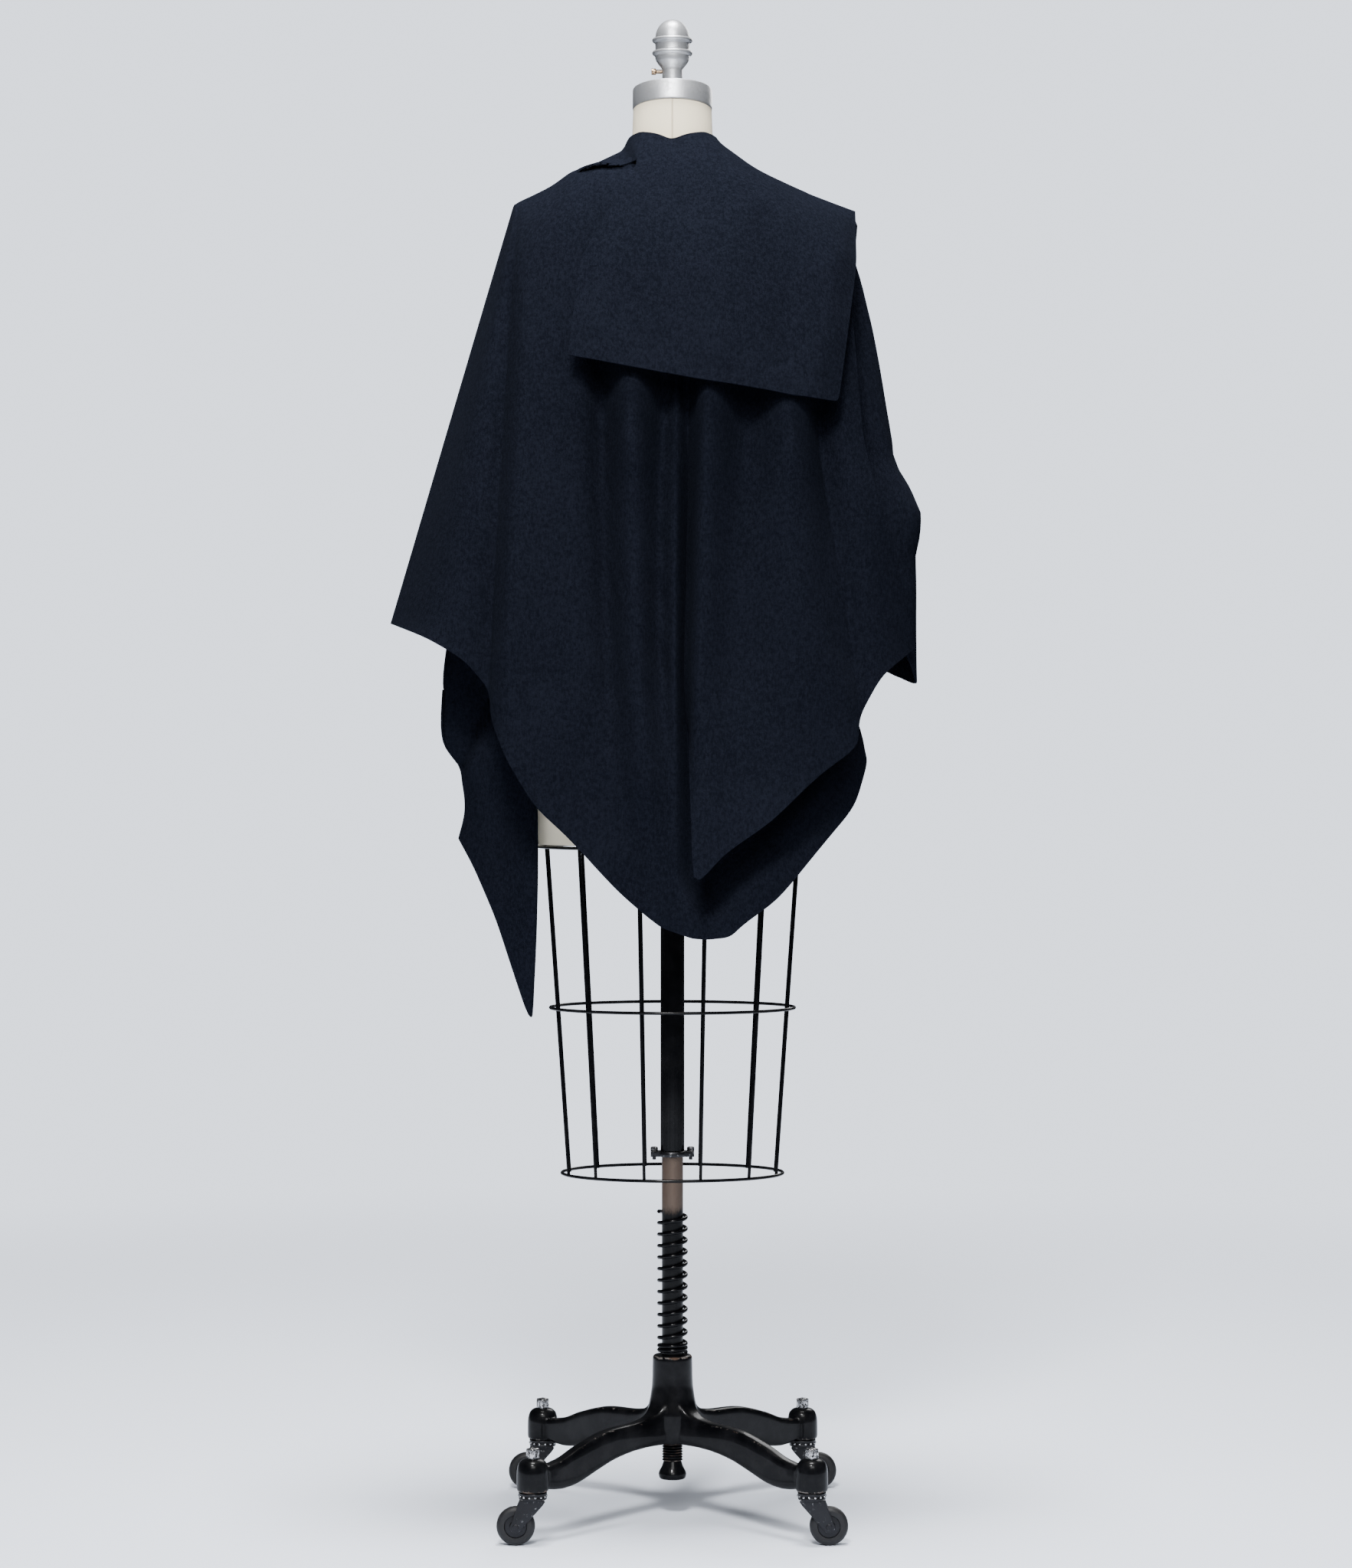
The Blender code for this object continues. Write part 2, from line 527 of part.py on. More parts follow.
def front_left_panel():
    """Left front, from the middle edge to its free side edge."""
    main = full_columns(FRONT_LEFT, row_shares(14), FRONT_DEPTH, SIDE_LEFT, 1)
    grid, spans = refine(main, 2)
    grid[..., 1] += RIDGE
    cloth("front_left_panel", grid, spans,
          seams=(("first", (1, 0, 0)), ("last", (0, 1, 0)), ("top", (0, 1, 0))))


def front_right_panel():
    """Right front, round the side to the edge that is tucked in behind the right back."""
    shares = row_shares(16)
    main = full_columns(FRONT_RIGHT, shares, FRONT_DEPTH, SIDE_RIGHT, 1)
    turn_in = low_columns(FRONT_RIGHT_RETURN, shares, row_at(shares, 0.27), main[-1])
    grid, spans = refine((main + turn_in)[::-1], 2)
    grid[..., 1] += RIDGE
    cloth("front_right_panel", grid, spans, seams=(("last", (1, 0, 0)), ("top", (0, 1, 0))))


def collar_fall():
    """Collar round the back of the neck with its notch, and the wide square fall below it."""
    shares = row_shares(11, 1.2)
    last = row_at(shares, 0.14)
    main = [(fall_column(column, column_heights(column, shares)), 0, len(shares) - 1)
            for column in FALL]
    local = [share / shares[last] for share in shares[:last + 1]]
    below = list(main[0][0][last + 1:])
    strip = [(strip_points(row, local) + below, 0, last) for row in COLLAR_STRIP]
    cloth("collar_fall", *refine(strip + main, 2), seams=(("top", (0, 1, 0)),))


def left_tail():
    """The long point that the left front ends in, with a narrow layer turned under at its edge."""
    rows = 3
    main = [(smooth_between(strip[1:], rows), 0, rows * (len(strip) - 2)) for strip in LEFT_TAIL]
    cloth("left_tail", *refine(main, 2), seams=(("first", (0, 1, 0)),))


def torso():
    """The form: one smooth closed body of oval sections from the neck to the hips."""
    def build(bm):
        rings = []
        for z, half_x, half_y in TORSO_SECTIONS:
            rings.append([bm.verts.new((half_x * math.cos(2 * math.pi * k / TORSO_SIDES),
                                        half_y * math.sin(2 * math.pi * k / TORSO_SIDES), z))
                          for k in range(TORSO_SIDES)])
        for vert in rings[-1]:
            vert.co.z -= vert.co.y * math.tan(NECK_TILT)
        for low, high in zip(rings, rings[1:]):
            for k in range(TORSO_SIDES):
                after = (k + 1) % TORSO_SIDES
                bm.faces.new((low[k], low[after], high[after], high[k]))
        bm.faces.new(rings[0][::-1])
        bm.faces.new(rings[-1])
    piece = place("torso_form", mesh_from(build, "torso_form"), LINEN)
    bore = drum("tube_socket", TUBE_RADIUS + SEAM, TORSO_SECTIONS[0][0] - 0.01, 0.80, None)
    move_to_cutters(bore)
    boolean(piece, bore, "DIFFERENCE")


def move_to_cutters(piece):
    """Make a piece a hidden cutter."""
    PIECES.objects.unlink(piece)
    CUTTERS.objects.link(piece)
    piece.hide_render = True
    piece.display_type = "WIRE"


def neck_cap():
    """The metal cap on the neck, tipped up at the back, and the turned finial on it."""
    cap = drum("neck_cap", CAP_RADIUS, -CAP_HALF, CAP_HALF, SILVER, (0, 0, CAP_Z), bevel=0.001, steps=28)
    cap.rotation_euler.x = -NECK_TILT
    foot = CAP_Z + CAP_HALF + FINIAL_LIFT
    top = TOTAL_HEIGHT - foot
    profile = ((0.0, top), (0.007, top - 0.0016), (0.0125, top - 0.006), (0.016, top - 0.012),
               (0.0176, top - 0.0185), (0.0178, top - 0.0205), (0.0214, top - 0.0215),
               (0.0214, top - 0.0245), (0.0182, top - 0.0265), (0.0182, top - 0.034),
               (0.0214, top - 0.036), (0.0214, top - 0.039), (0.0182, top - 0.041),
               (0.0170, top - 0.046), (0.0135, top - 0.051), (FINIAL_NECK, top - 0.055),
               (FINIAL_NECK, 0.0), (0.0, 0.0))
    turned("finial", profile, SILVER, (0, 0, foot), 16)
    head = 0.0030
    length = 0.0125
    screw = turned("finial_screw", ((0.0, length), (head, length), (head, length - 0.0035), (0.0016, length - 0.0040),
                                    (0.0016, 0.0), (0.0, 0.0)),
                   BRASS, (-FINIAL_NECK - SEAM, 0, foot + 0.0125), 10)
    screw.rotation_euler.y = -math.pi / 2


def ring(level, swell=0.0, count=2 * CAGE_WIRES):
    """Points of an oval at a cage level, made larger by swell."""
    z, half_x, half_y = level
    return [((half_x + swell) * math.cos(2 * math.pi * k / count),
             (half_y + swell) * math.sin(2 * math.pi * k / count), z) for k in range(count)]


def skirt_cage():
    """Twelve wires that hang from the form, inside three oval rings."""
    for number in range(CAGE_WIRES):
        angle = 2 * math.pi * (number + 0.5) / CAGE_WIRES
        points = [(half_x * math.cos(angle), half_y * math.sin(angle), z)
                  for z, half_x, half_y in CAGE_LEVELS]
        top = Vector(points[0])
        top.z = TORSO_SECTIONS[0][0] - SEAM
        points[0] = tuple(top)
        last = Vector(points[-1])
        last.z -= WIRE_RADIUS
        points[-1] = tuple(last)
        wire(f"cage_wire_{number + 1:02d}", points, WIRE_RADIUS, BLACK_STEEL)
    swell = 2 * WIRE_RADIUS + 1.5 * SEAM
    for name, level in zip(("top", "middle", "low"), CAGE_LEVELS):
        wire(f"cage_ring_{name}", ring(level, swell), WIRE_RADIUS, BLACK_STEEL, closed=True)


def column_stand():
    """Outer tube with its clamp, the pole inside it, and the coil spring on the pole."""
    drum("outer_tube", TUBE_RADIUS, TUBE_BOTTOM, 0.7997, BLACK_STEEL, bore=POLE_RADIUS + SEAM, steps=24)
    drum("pole", POLE_RADIUS, 0.125 + SEAM, POLE_TOP, BROWN_STEEL, steps=24)
    clamp()
    turns_up = SPRING_TURNS + SPRING_CLOSED_TURNS
    count = int(turns_up * SPRING_STEPS)
    closed_rise = 2 * SPRING_WIRE + 0.0004
    open_rise = ((SPRING_TOP - SPRING_BOTTOM - 2 * SPRING_WIRE - SPRING_CLOSED_TURNS * closed_rise)
                 / SPRING_TURNS)
    points = []
    for step in range(count + 1):
        turn = turns_up * step / count
        low = min(turn, SPRING_CLOSED_TURNS)
        z = SPRING_BOTTOM + SPRING_WIRE + low * closed_rise + (turn - low) * open_rise
        angle = 2 * math.pi * turn
        points.append((SPRING_RADIUS * math.cos(angle), SPRING_RADIUS * math.sin(angle), z))
    wire("coil_spring", points, SPRING_WIRE, BLACK_STEEL)


def clamp():
    """The flat collar under the tube, with a bolt through each ear."""
    thickness = 0.006
    ear = 0.0245
    half_depth = 0.008
    plate = place("height_clamp", box_mesh("height_clamp", (-ear, -half_depth, -thickness / 2),
                                           (ear, half_depth, thickness / 2)), DARK_STEEL,
                  (0, 0, CLAMP_Z))
    collar = drum("clamp_collar", TUBE_RADIUS + 0.003, -thickness / 2, thickness / 2, None,
                  (0, 0, CLAMP_Z), steps=28)
    bore = drum("clamp_bore", POLE_RADIUS + SEAM, -0.02, 0.02, None, (0, 0, CLAMP_Z), steps=28)
    move_to_cutters(collar)
    move_to_cutters(bore)
    boolean(plate, collar, "UNION")
    boolean(plate, bore, "DIFFERENCE")
    for name, side in (("left", -1), ("right", 1)):
        hole_x = side * 0.0205
        hole = drum(f"bolt_hole_{name}", 0.0023, -0.02, 0.02, None, (hole_x, 0, CLAMP_Z), steps=12)
        move_to_cutters(hole)
        boolean(plate, hole, "DIFFERENCE")
        half = thickness / 2
        profile = ((0.0, half + 0.0045), (0.0042, half + 0.0045), (0.0042, half + SEAM),
                   (0.0020, half + SEAM), (0.0020, -half - 0.004), (0.0, -half - 0.004))
        turned(f"clamp_bolt_{name}", profile, DARK_STEEL, (hole_x, 0, CLAMP_Z), 12)


def leg_outline():
    """Side view of one arched leg: distance from the pole and height."""
    reach = math.hypot(SOCKET_X, SOCKET_Y)
    top = ((0.016, 0.150), (0.024, 0.128), (0.036, 0.1165), (0.060, 0.1125), (0.090, 0.1115),
           (0.115, 0.1085), (0.150, 0.0985), (0.175, 0.0890), (reach - 0.012, 0.0830))
    bottom = ((reach - 0.012, 0.0600), (0.188, 0.0565), (0.170, 0.0560), (0.150, 0.0595),
              (0.125, 0.0680), (0.098, 0.0765), (0.070, 0.0815), (0.040, 0.0835), (0.016, 0.0835))
    return top + bottom


def base_casting():
    """Hub, four arched legs and four domed caster sockets, cast in one."""
    bottom = 0.0835
    depth = 0.125
    bore = POLE_RADIUS + SEAM
    profile = ((bore, HUB_TOP), (0.0195, HUB_TOP), (0.0208, HUB_TOP - 0.0015), (0.0208, 0.158),
               (0.0214, 0.146), (0.0240, 0.132), (0.0280, 0.118), (0.0300, 0.104),
               (0.0290, bottom + 0.003), (0.0265, bottom), (0.0, bottom), )
    piece = turned("base_casting", profile + ((0.0, depth), (bore, depth), (bore, HUB_TOP)),
                   BLACK_IRON, steps=20)
    outline = leg_outline()
    for number, (sx, sy) in enumerate(((-1, -1), (1, -1), (1, 1), (-1, 1)), 1):
        angle = math.atan2(sy * SOCKET_Y, sx * SOCKET_X)

        def leg(bm):
            verts = [bm.verts.new((reach, -LEG_WIDTH / 2, z)) for reach, z in outline]
            face = bm.faces.new(verts)
            grown = bmesh.ops.extrude_face_region(bm, geom=[face])
            moved = [item for item in grown["geom"] if isinstance(item, bmesh.types.BMVert)]
            bmesh.ops.translate(bm, verts=moved, vec=(0, LEG_WIDTH, 0))
            bmesh.ops.recalc_face_normals(bm, faces=bm.faces)
            long_edges = [edge for edge in bm.edges
                          if abs(edge.verts[0].co.y - edge.verts[1].co.y) < 1e-6]
            bmesh.ops.bevel(bm, geom=long_edges, offset=0.0025, segments=1, affect="EDGES")
            bmesh.ops.rotate(bm, verts=bm.verts, matrix=Matrix.Rotation(angle, 3, "Z"))
        arm = cutter(f"leg_{number}", mesh_from(leg, f"leg_{number}"))
        boolean(piece, arm, "UNION")
        socket = turned(f"socket_{number}", (
            (0.0, 0.0940), (0.0070, 0.0935), (0.0118, 0.0905), (0.0155, 0.0850), (0.0172, 0.0770),
            (0.0172, SOCKET_BOTTOM + 0.001), (0.0162, SOCKET_BOTTOM), (0.0, SOCKET_BOTTOM)),
            None, (sx * SOCKET_X, sy * SOCKET_Y, 0), 12)
        move_to_cutters(socket)
        boolean(piece, socket, "UNION")
        half = 0.0045
        peg = place(f"caster_peg_{number}",
                    box_mesh(f"caster_peg_{number}", (-half, -half, 0), (half, half, 0.0095)),
                    DARK_STEEL, (sx * SOCKET_X, sy * SOCKET_Y, 0.0940 + SEAM))
        peg.rotation_euler.z = angle
        edge_round = peg.modifiers.new("round", "BEVEL")
        edge_round.width = 0.0012
        edge_round.segments = 1
    turned("foot_screw", ((0.0, 0.0832), (0.0116, 0.0832), (0.0116, 0.0600), (0.0150, 0.0585),
                          (0.0158, 0.0540), (0.0158, 0.0440), (0.0140, 0.0412), (0.0, 0.0412)),
           BLACK_IRON, steps=16)


def casters():
    """Four swivel casters whose wheels trail outwards."""
    for number, (sx, sy) in enumerate(((-1, -1), (1, -1), (1, 1), (-1, 1)), 1):
        place_caster(number, sx * SOCKET_X, sy * SOCKET_Y, sx)


def place_caster(number, x, y, out):
    """One caster: a fork with its bearing plate and wheel pin, and the wheel on the pin."""
    plate_top = SOCKET_BOTTOM - SEAM
    plate_bottom = 0.0505
    fork = drum(f"caster_fork_{number}", 0.0155, plate_bottom, plate_top, DARK_STEEL, (x, y, 0), steps=14)
    inner = WHEEL_HALF + 0.0012
    cheek = 0.0018
    eye = 0.0062

    def cheek_plate(side):
        def build(bm):
            outline = [(-0.0125, plate_bottom + 0.001), (-0.0135, 0.0485), (-0.010, 0.0440)]
            outline += [(TRAIL + eye * math.cos(a), WHEEL_RADIUS + eye * math.sin(a))
                        for a in np.radians(np.linspace(215, 395, 5))]
            outline += [(0.0145, 0.0485), (0.0140, plate_bottom + 0.001)]
            low = side * inner if side > 0 else -inner - cheek
            face = bm.faces.new([bm.verts.new((out * u, low, v)) for u, v in outline])
            grown = bmesh.ops.extrude_face_region(bm, geom=[face])
            moved = [item for item in grown["geom"] if isinstance(item, bmesh.types.BMVert)]
            bmesh.ops.translate(bm, verts=moved, vec=(0, cheek, 0))
            bmesh.ops.recalc_face_normals(bm, faces=bm.faces)
        return build

    for side in (-1, 1):
        name = f"cheek_{number}_{'near' if side < 0 else 'far'}"
        boolean(fork, cutter(name, mesh_from(cheek_plate(side), name), (x, y, 0)), "UNION")

    def pin_body(bm):
        bmesh.ops.create_cone(bm, cap_ends=True, segments=8, radius1=PIN_RADIUS, radius2=PIN_RADIUS,
                              depth=2 * (inner + cheek + 0.0008),
                              matrix=Matrix.Rotation(math.pi / 2, 4, "X"))
    pin = cutter(f"wheel_pin_{number}", mesh_from(pin_body, f"wheel_pin_{number}"),
                 (x + out * TRAIL, y, WHEEL_RADIUS))
    boolean(fork, pin, "UNION")
    crown = 0.0022
    bore = PIN_RADIUS + SEAM
    wheel = turned(f"caster_wheel_{number}", (
        (bore, WHEEL_HALF), (WHEEL_RADIUS - crown, WHEEL_HALF),
        (WHEEL_RADIUS, WHEEL_HALF - crown), (WHEEL_RADIUS, crown - WHEEL_HALF),
        (WHEEL_RADIUS - crown, -WHEEL_HALF), (bore, -WHEEL_HALF), (bore, WHEEL_HALF)),
        RUBBER, (x + out * TRAIL, y, WHEEL_RADIUS), 20)
    wheel.rotation_euler.x = math.pi / 2


torso()
neck_cap()
skirt_cage()
column_stand()
base_casting()
casters()
back_left_panel()
back_right_panel()
front_left_panel()
front_right_panel()
collar_fall()
left_tail()
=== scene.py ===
"""Looks of a felted wool jacket on a dress form with a wheeled stand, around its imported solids.

Metres, +Z up. The jacket's back faces -Y, and the camera looks along +Y at it.
"""

import math
from collections import namedtuple

import bmesh
import bpy
import numpy as np
from mathutils import Matrix, Vector, noise
from mathutils.bvhtree import BVHTree


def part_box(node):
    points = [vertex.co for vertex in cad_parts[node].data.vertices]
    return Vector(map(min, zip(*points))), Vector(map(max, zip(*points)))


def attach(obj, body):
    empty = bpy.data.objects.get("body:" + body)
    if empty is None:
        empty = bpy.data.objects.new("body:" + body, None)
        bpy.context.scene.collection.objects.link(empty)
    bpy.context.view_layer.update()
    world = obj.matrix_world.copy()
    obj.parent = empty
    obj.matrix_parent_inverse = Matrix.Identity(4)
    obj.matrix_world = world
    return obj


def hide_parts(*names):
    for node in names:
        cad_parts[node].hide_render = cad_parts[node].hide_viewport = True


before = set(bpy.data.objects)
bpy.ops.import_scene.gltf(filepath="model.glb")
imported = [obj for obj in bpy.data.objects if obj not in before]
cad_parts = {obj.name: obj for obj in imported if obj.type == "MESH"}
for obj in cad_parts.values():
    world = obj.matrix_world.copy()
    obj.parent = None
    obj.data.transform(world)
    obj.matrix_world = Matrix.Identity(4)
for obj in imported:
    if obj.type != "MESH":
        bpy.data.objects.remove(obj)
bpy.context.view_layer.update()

# The photograph's view
CAMERA_PLACE = (0.004, -4.3, 0.889)
CAMERA_DOWN = math.radians(0.865)
LENS = 87.9                  # mm, with 36 mm on the long side of the picture
PIXEL = 0.00086              # metres to a pixel in the plane of the pole
MIDDLE_PX = 878              # pixel column of X = 0
HORIZON_PY = 948             # pixel row at the camera's height
BACK_Y = -0.14               # how far behind the pole the cloth of the back hangs

# Cloth
WALL = 0.0024
RIM_TOLERANCE = 0.00004
MEETING = 0.0008             # fronts are cut flat this near to the middle and to the shoulder's line
KNIFE = math.radians(140)    # where a wall's two sides meet without a rim
LEVEL = Vector((1, 1, 0))
SKIN_LEVELS = 2
EVEN_ROUNDS = 10
SEAM_ROUNDS = 5
FORM_GAP = 0.0065            # the felt's outer side stays this far off the form's solid,
HELD_BELOW = 1.42            # below this level,
HELD_WITHIN = 0.17           # this near to the middle
HELD_BEHIND = -0.02          # and behind this depth
RAY_START = -0.6
STILL_ABOVE = 1.44           # no crease moves an open edge above this level
SEAM_NEAR = 0.024            # the middle seam is drawn shut up to this gap
SEAM_FAR = 0.05              # and left as it is beyond this one
SEAM_LAP = (-0.004, 0.0012, 0)

# Form and stand, as in the solids
NECK_TILT = math.radians(8)
TILT_FROM = 1.55             # the neck's sections lean more and more from this level up
NECK_TOP = 1.5785
NECK_RADIUS = 0.044
WIRE_RADIUS = 0.0018
RING_SWELL = 2 * WIRE_RADIUS + 0.00045
SPRING_TOP = 0.3455
SPRING_WIRE = 0.0022
SPRING_TURNS = 11.5
SPRING_CLOSED_TURNS = 2.0
LEG_WIDTH = 0.017
FINIAL_FULLNESS = 1.05
SCREW_RISE = 0.0055          # the set screw shows this much higher than its solid
CASTING_GRAIN = 0.0016
TRAIL = 0.0185
SOCKETS = ((-1, -1), (1, -1), (1, 1), (-1, 1))

# Colours
FELT_DEEP = (0.003, 0.0036, 0.006)
FELT_PALE = (0.0062, 0.0073, 0.0118)
LINEN = (0.93, 0.83, 0.62)
LINEN_SHADE = (0.72, 0.6, 0.42)
SILVER = (0.47, 0.48, 0.5)
SILVER_DULL = (0.27, 0.27, 0.27)
ENAMEL = (0.0012, 0.0013, 0.0018)
BARE_IRON = (0.16, 0.145, 0.135)
RUST = (0.07, 0.045, 0.033)
BROWN = (0.105, 0.078, 0.062)
DARK_STEEL = (0.02, 0.02, 0.022)
BRIGHT_STEEL = (0.42, 0.42, 0.43)
RUBBER = (0.006, 0.006, 0.007)
BRASS = (0.24, 0.17, 0.11)
PAPER = (0.75, 0.8, 0.9)
BACKDROP_GLOW = 2.25         # how bright the surroundings look
ROOM_GLOW = 0.08             # how much light they give


class Shade:
    """A value that varies over a surface, with the arithmetic that the finishes need."""

    def __init__(self, finish, socket):
        self.finish = finish
        self.socket = socket

    def sum_of(self, operation, *values):
        return self.finish.node("ShaderNodeMath", {"operation": operation}, dict(enumerate(values)))

    def __add__(self, other):
        return self.sum_of("ADD", self, other)

    __radd__ = __add__

    def __mul__(self, other):
        return self.sum_of("MULTIPLY", self, other)

    __rmul__ = __mul__

    def __sub__(self, other):
        return self.sum_of("SUBTRACT", self, other)

    def __rsub__(self, other):
        return self.sum_of("SUBTRACT", other, self)

    def sine(self):
        return self.sum_of("SINE", self)

    def size(self):
        return self.sum_of("ABSOLUTE", self)

    def between(self, low, high):
        """0 below low, 1 above high, and a soft step from one to the other."""
        return self.finish.node("ShaderNodeMapRange", {"interpolation_type": "SMOOTHSTEP"},
                                {0: self, 1: low, 2: high})


class Finish:
    """A material: a Principled shader and whatever feeds it."""

    def __init__(self, name, colour, roughness, metallic=0.0, **constants):
        self.material = bpy.data.materials.new(name)
        self.material.use_nodes = True
        self.tree = self.material.node_tree
        self.shader = self.tree.nodes["Principled BSDF"]
        self.set("Base Color", (*colour, 1.0))
        self.set("Roughness", roughness)
        self.set("Metallic", metallic)
        for socket, value in constants.items():
            self.set(socket.replace("_", " "), value)

    def feed(self, socket, value):
        if isinstance(value, Shade):
            self.tree.links.new(value.socket, socket)
        else:
            socket.default_value = value

    def set(self, socket, value):
        self.feed(self.shader.inputs[socket], value)

    def node(self, kind, settings=None, sockets=None, output=0):
        """Any node: its settings first, then its sockets."""
        made = self.tree.nodes.new(kind)
        for name, value in (settings or {}).items():
            setattr(made, name, value)
        for name, value in (sockets or {}).items():
            self.feed(made.inputs[name], value)
        return Shade(self, made.outputs[output])

    def place(self, stretch=(1, 1, 1)):
        """Where a point of the surface is, in metres."""
        spot = self.node("ShaderNodeTexCoord", output="Object")
        return self.node("ShaderNodeMapping", None, {"Vector": spot, "Scale": stretch})

    def across(self, axis):
        """One of a point's coordinates."""
        return self.node("ShaderNodeSeparateXYZ", None, {0: self.place()}, axis)

    def cloud(self, scale, detail=2.0, rough=0.5, stretch=(1, 1, 1)):
        return self.node("ShaderNodeTexNoise", None, {"Vector": self.place(stretch), "Scale": scale,
                                                      "Detail": detail, "Roughness": rough})

    def mixed(self, low, high, share):
        low = low if isinstance(low, Shade) else (*low, 1.0)
        high = high if isinstance(high, Shade) else (*high, 1.0)
        return self.node("ShaderNodeMix", {"data_type": "RGBA"}, {0: share, 6: low, 7: high}, 2)

    def relief(self, height, depth):
        self.set("Normal", self.node("ShaderNodeBump", None, {"Height": height, "Distance": depth}))

    def worn(self):
        """How much a point lies on an outer edge, as measured on the mesh."""
        return self.node("ShaderNodeAttribute", {"attribute_name": "edge"}, output="Fac")


def felt():
    cloth = Finish("navy_felt", FELT_DEEP, 0.95, Sheen_Weight=0.006, Sheen_Roughness=0.6,
                   Sheen_Tint=(0.55, 0.65, 0.9, 1.0), Specular_IOR_Level=0.0)
    mottle = cloth.cloud(230.0, 6.0, 0.7)
    nap = cloth.cloud(1100.0, 3.0, 0.6)
    hairs = cloth.cloud(620.0, 2.0, 0.7, (1.0, 1.0, 0.3))
    fade = cloth.cloud(7.0, 3.0)
    light = ((mottle - 0.5) * 2.2 + (hairs - 0.5) * 1.6 + (nap - 0.5) * 1.0
             + (fade - 0.5) * 0.6 + 0.5).between(0.0, 1.0)
    cloth.set("Base Color", cloth.mixed(FELT_DEEP, FELT_PALE, light))
    cloth.relief(mottle * 0.45 + hairs * 0.3 + nap * 0.3, 0.001)
    return cloth.material


def linen():
    cover = Finish("cream_linen", LINEN, 0.86, Sheen_Weight=0.15, Specular_IOR_Level=0.25)
    turns = 2 * math.pi / 0.0011
    weave = (cover.across(0) * turns).sine() * (cover.across(2) * turns).sine()
    slub = cover.cloud(260.0, 3.0, 0.6, (1.0, 1.0, 0.2))
    seam = 1 - cover.across(0).size().between(0.0002, 0.0011)
    stain = cover.cloud(9.0, 3.0).between(0.45, 0.8)
    tone = cover.mixed(LINEN, LINEN_SHADE, (stain * 0.45 + (slub - 0.5) * 0.5
                                            + seam * 0.7).between(0.0, 1.0))
    cover.set("Base Color", tone)
    cover.relief(weave * 0.3 + slub * 0.6 - seam * 2.2, 0.0005)
    return cover.material


def silver():
    metal = Finish("brushed_silver", SILVER, 0.4, 0.75)
    brush = metal.cloud(120.0, 4.0, 0.7, (1.0, 1.0, 22.0))
    dull = metal.cloud(70.0, 4.0, 0.65).between(0.46, 0.72)
    metal.set("Base Color", metal.mixed(SILVER, SILVER_DULL, dull * 0.6 + (brush - 0.5) * 0.3))
    metal.set("Roughness", 0.38 + dull * 0.16 + (brush - 0.5) * 0.2)
    metal.relief(brush * 0.6 + dull * 0.3, 0.00018)
    return metal.material


def brass():
    metal = Finish("aged_brass", BRASS, 0.42, 1.0)
    spots = metal.cloud(600.0, 3.0).between(0.5, 0.68)
    metal.set("Base Color", metal.mixed(BRASS, RUST, spots))
    metal.set("Roughness", 0.35 + spots * 0.3)
    return metal.material


def enamel(name="black_steel", wear=0.0, dusty=0.004, rough=0.16):
    """Gloss black paint, worn through to bare metal and rust at the edges where wear says so."""
    paint = Finish(name, ENAMEL, 0.22, 0.0, Coat_Roughness=0.05, Specular_IOR_Level=0.06)
    dust = paint.cloud(35.0, 4.0, 0.65)
    orange_peel = paint.cloud(380.0, 2.0)
    colour = paint.mixed(ENAMEL, (dusty, dusty, dusty * 1.15), dust.between(0.4, 0.75))
    chips = 0.0
    if wear:
        edge = paint.worn()
        ragged = paint.cloud(160.0, 5.0, 0.7)
        chips = (edge * wear + (ragged - 0.5) * 1.5 - 0.62).between(0.0, 0.1)
        spots = paint.cloud(70.0, 2.0)
        bare = paint.mixed(BARE_IRON, RUST, spots.between(0.4, 0.62))
        colour = paint.mixed(colour, bare, chips)
        paint.set("Metallic", chips * 0.6)
    paint.set("Base Color", colour)
    paint.set("Roughness", rough + dust * 0.16 + chips * 0.35)
    paint.set("Coat Weight", 0.12 - chips * 0.12)
    paint.relief(orange_peel * 0.25 + dust * 0.2 - chips * 1.2, 0.0003)
    return paint.material


def brown_steel():
    metal = Finish("brown_steel", BROWN, 0.45, Specular_IOR_Level=0.15)
    rust = metal.cloud(60.0, 5.0, 0.65, (1.0, 1.0, 0.35))
    grain = metal.cloud(500.0, 3.0)
    rusty = rust.between(0.42, 0.66)
    bare = (metal.across(2) + (rust - 0.5) * 0.03).between(SPRING_TOP - 0.006, SPRING_TOP + 0.004)
    brown = metal.mixed(BROWN, RUST, rusty)
    metal.set("Base Color", metal.mixed(ENAMEL, brown, bare))
    metal.set("Metallic", bare * (0.85 - rusty * 0.5))
    metal.set("Roughness", 0.28 + bare * 0.1 + rust * 0.2)
    metal.relief(rust * 0.5 + grain * 0.4, 0.0003)
    return metal.material


def dark_steel():
    metal = Finish("dark_steel", DARK_STEEL, 0.38, 0.9)
    edge = metal.worn()
    patch = metal.cloud(240.0, 4.0, 0.65)
    bright = (edge * 0.5 + (patch - 0.5) * 1.3 - 0.4).between(0.0, 0.3) * 0.7
    metal.set("Base Color", metal.mixed(DARK_STEEL, BRIGHT_STEEL, bright))
    metal.set("Roughness", 0.44 - bright * 0.2 + (patch - 0.5) * 0.2)
    metal.relief(patch, 0.0002)
    return metal.material


def worn_chrome():
    metal = Finish("worn_chrome", BRIGHT_STEEL, 0.25, 1.0)
    lost = metal.cloud(330.0, 4.0, 0.7).between(0.5, 0.58)
    metal.set("Base Color", metal.mixed(BRIGHT_STEEL, ENAMEL, lost))
    metal.set("Roughness", 0.22 + lost * 0.3)
    metal.set("Metallic", 1 - lost * 0.7)
    metal.relief(1 - lost, 0.0002)
    return metal.material


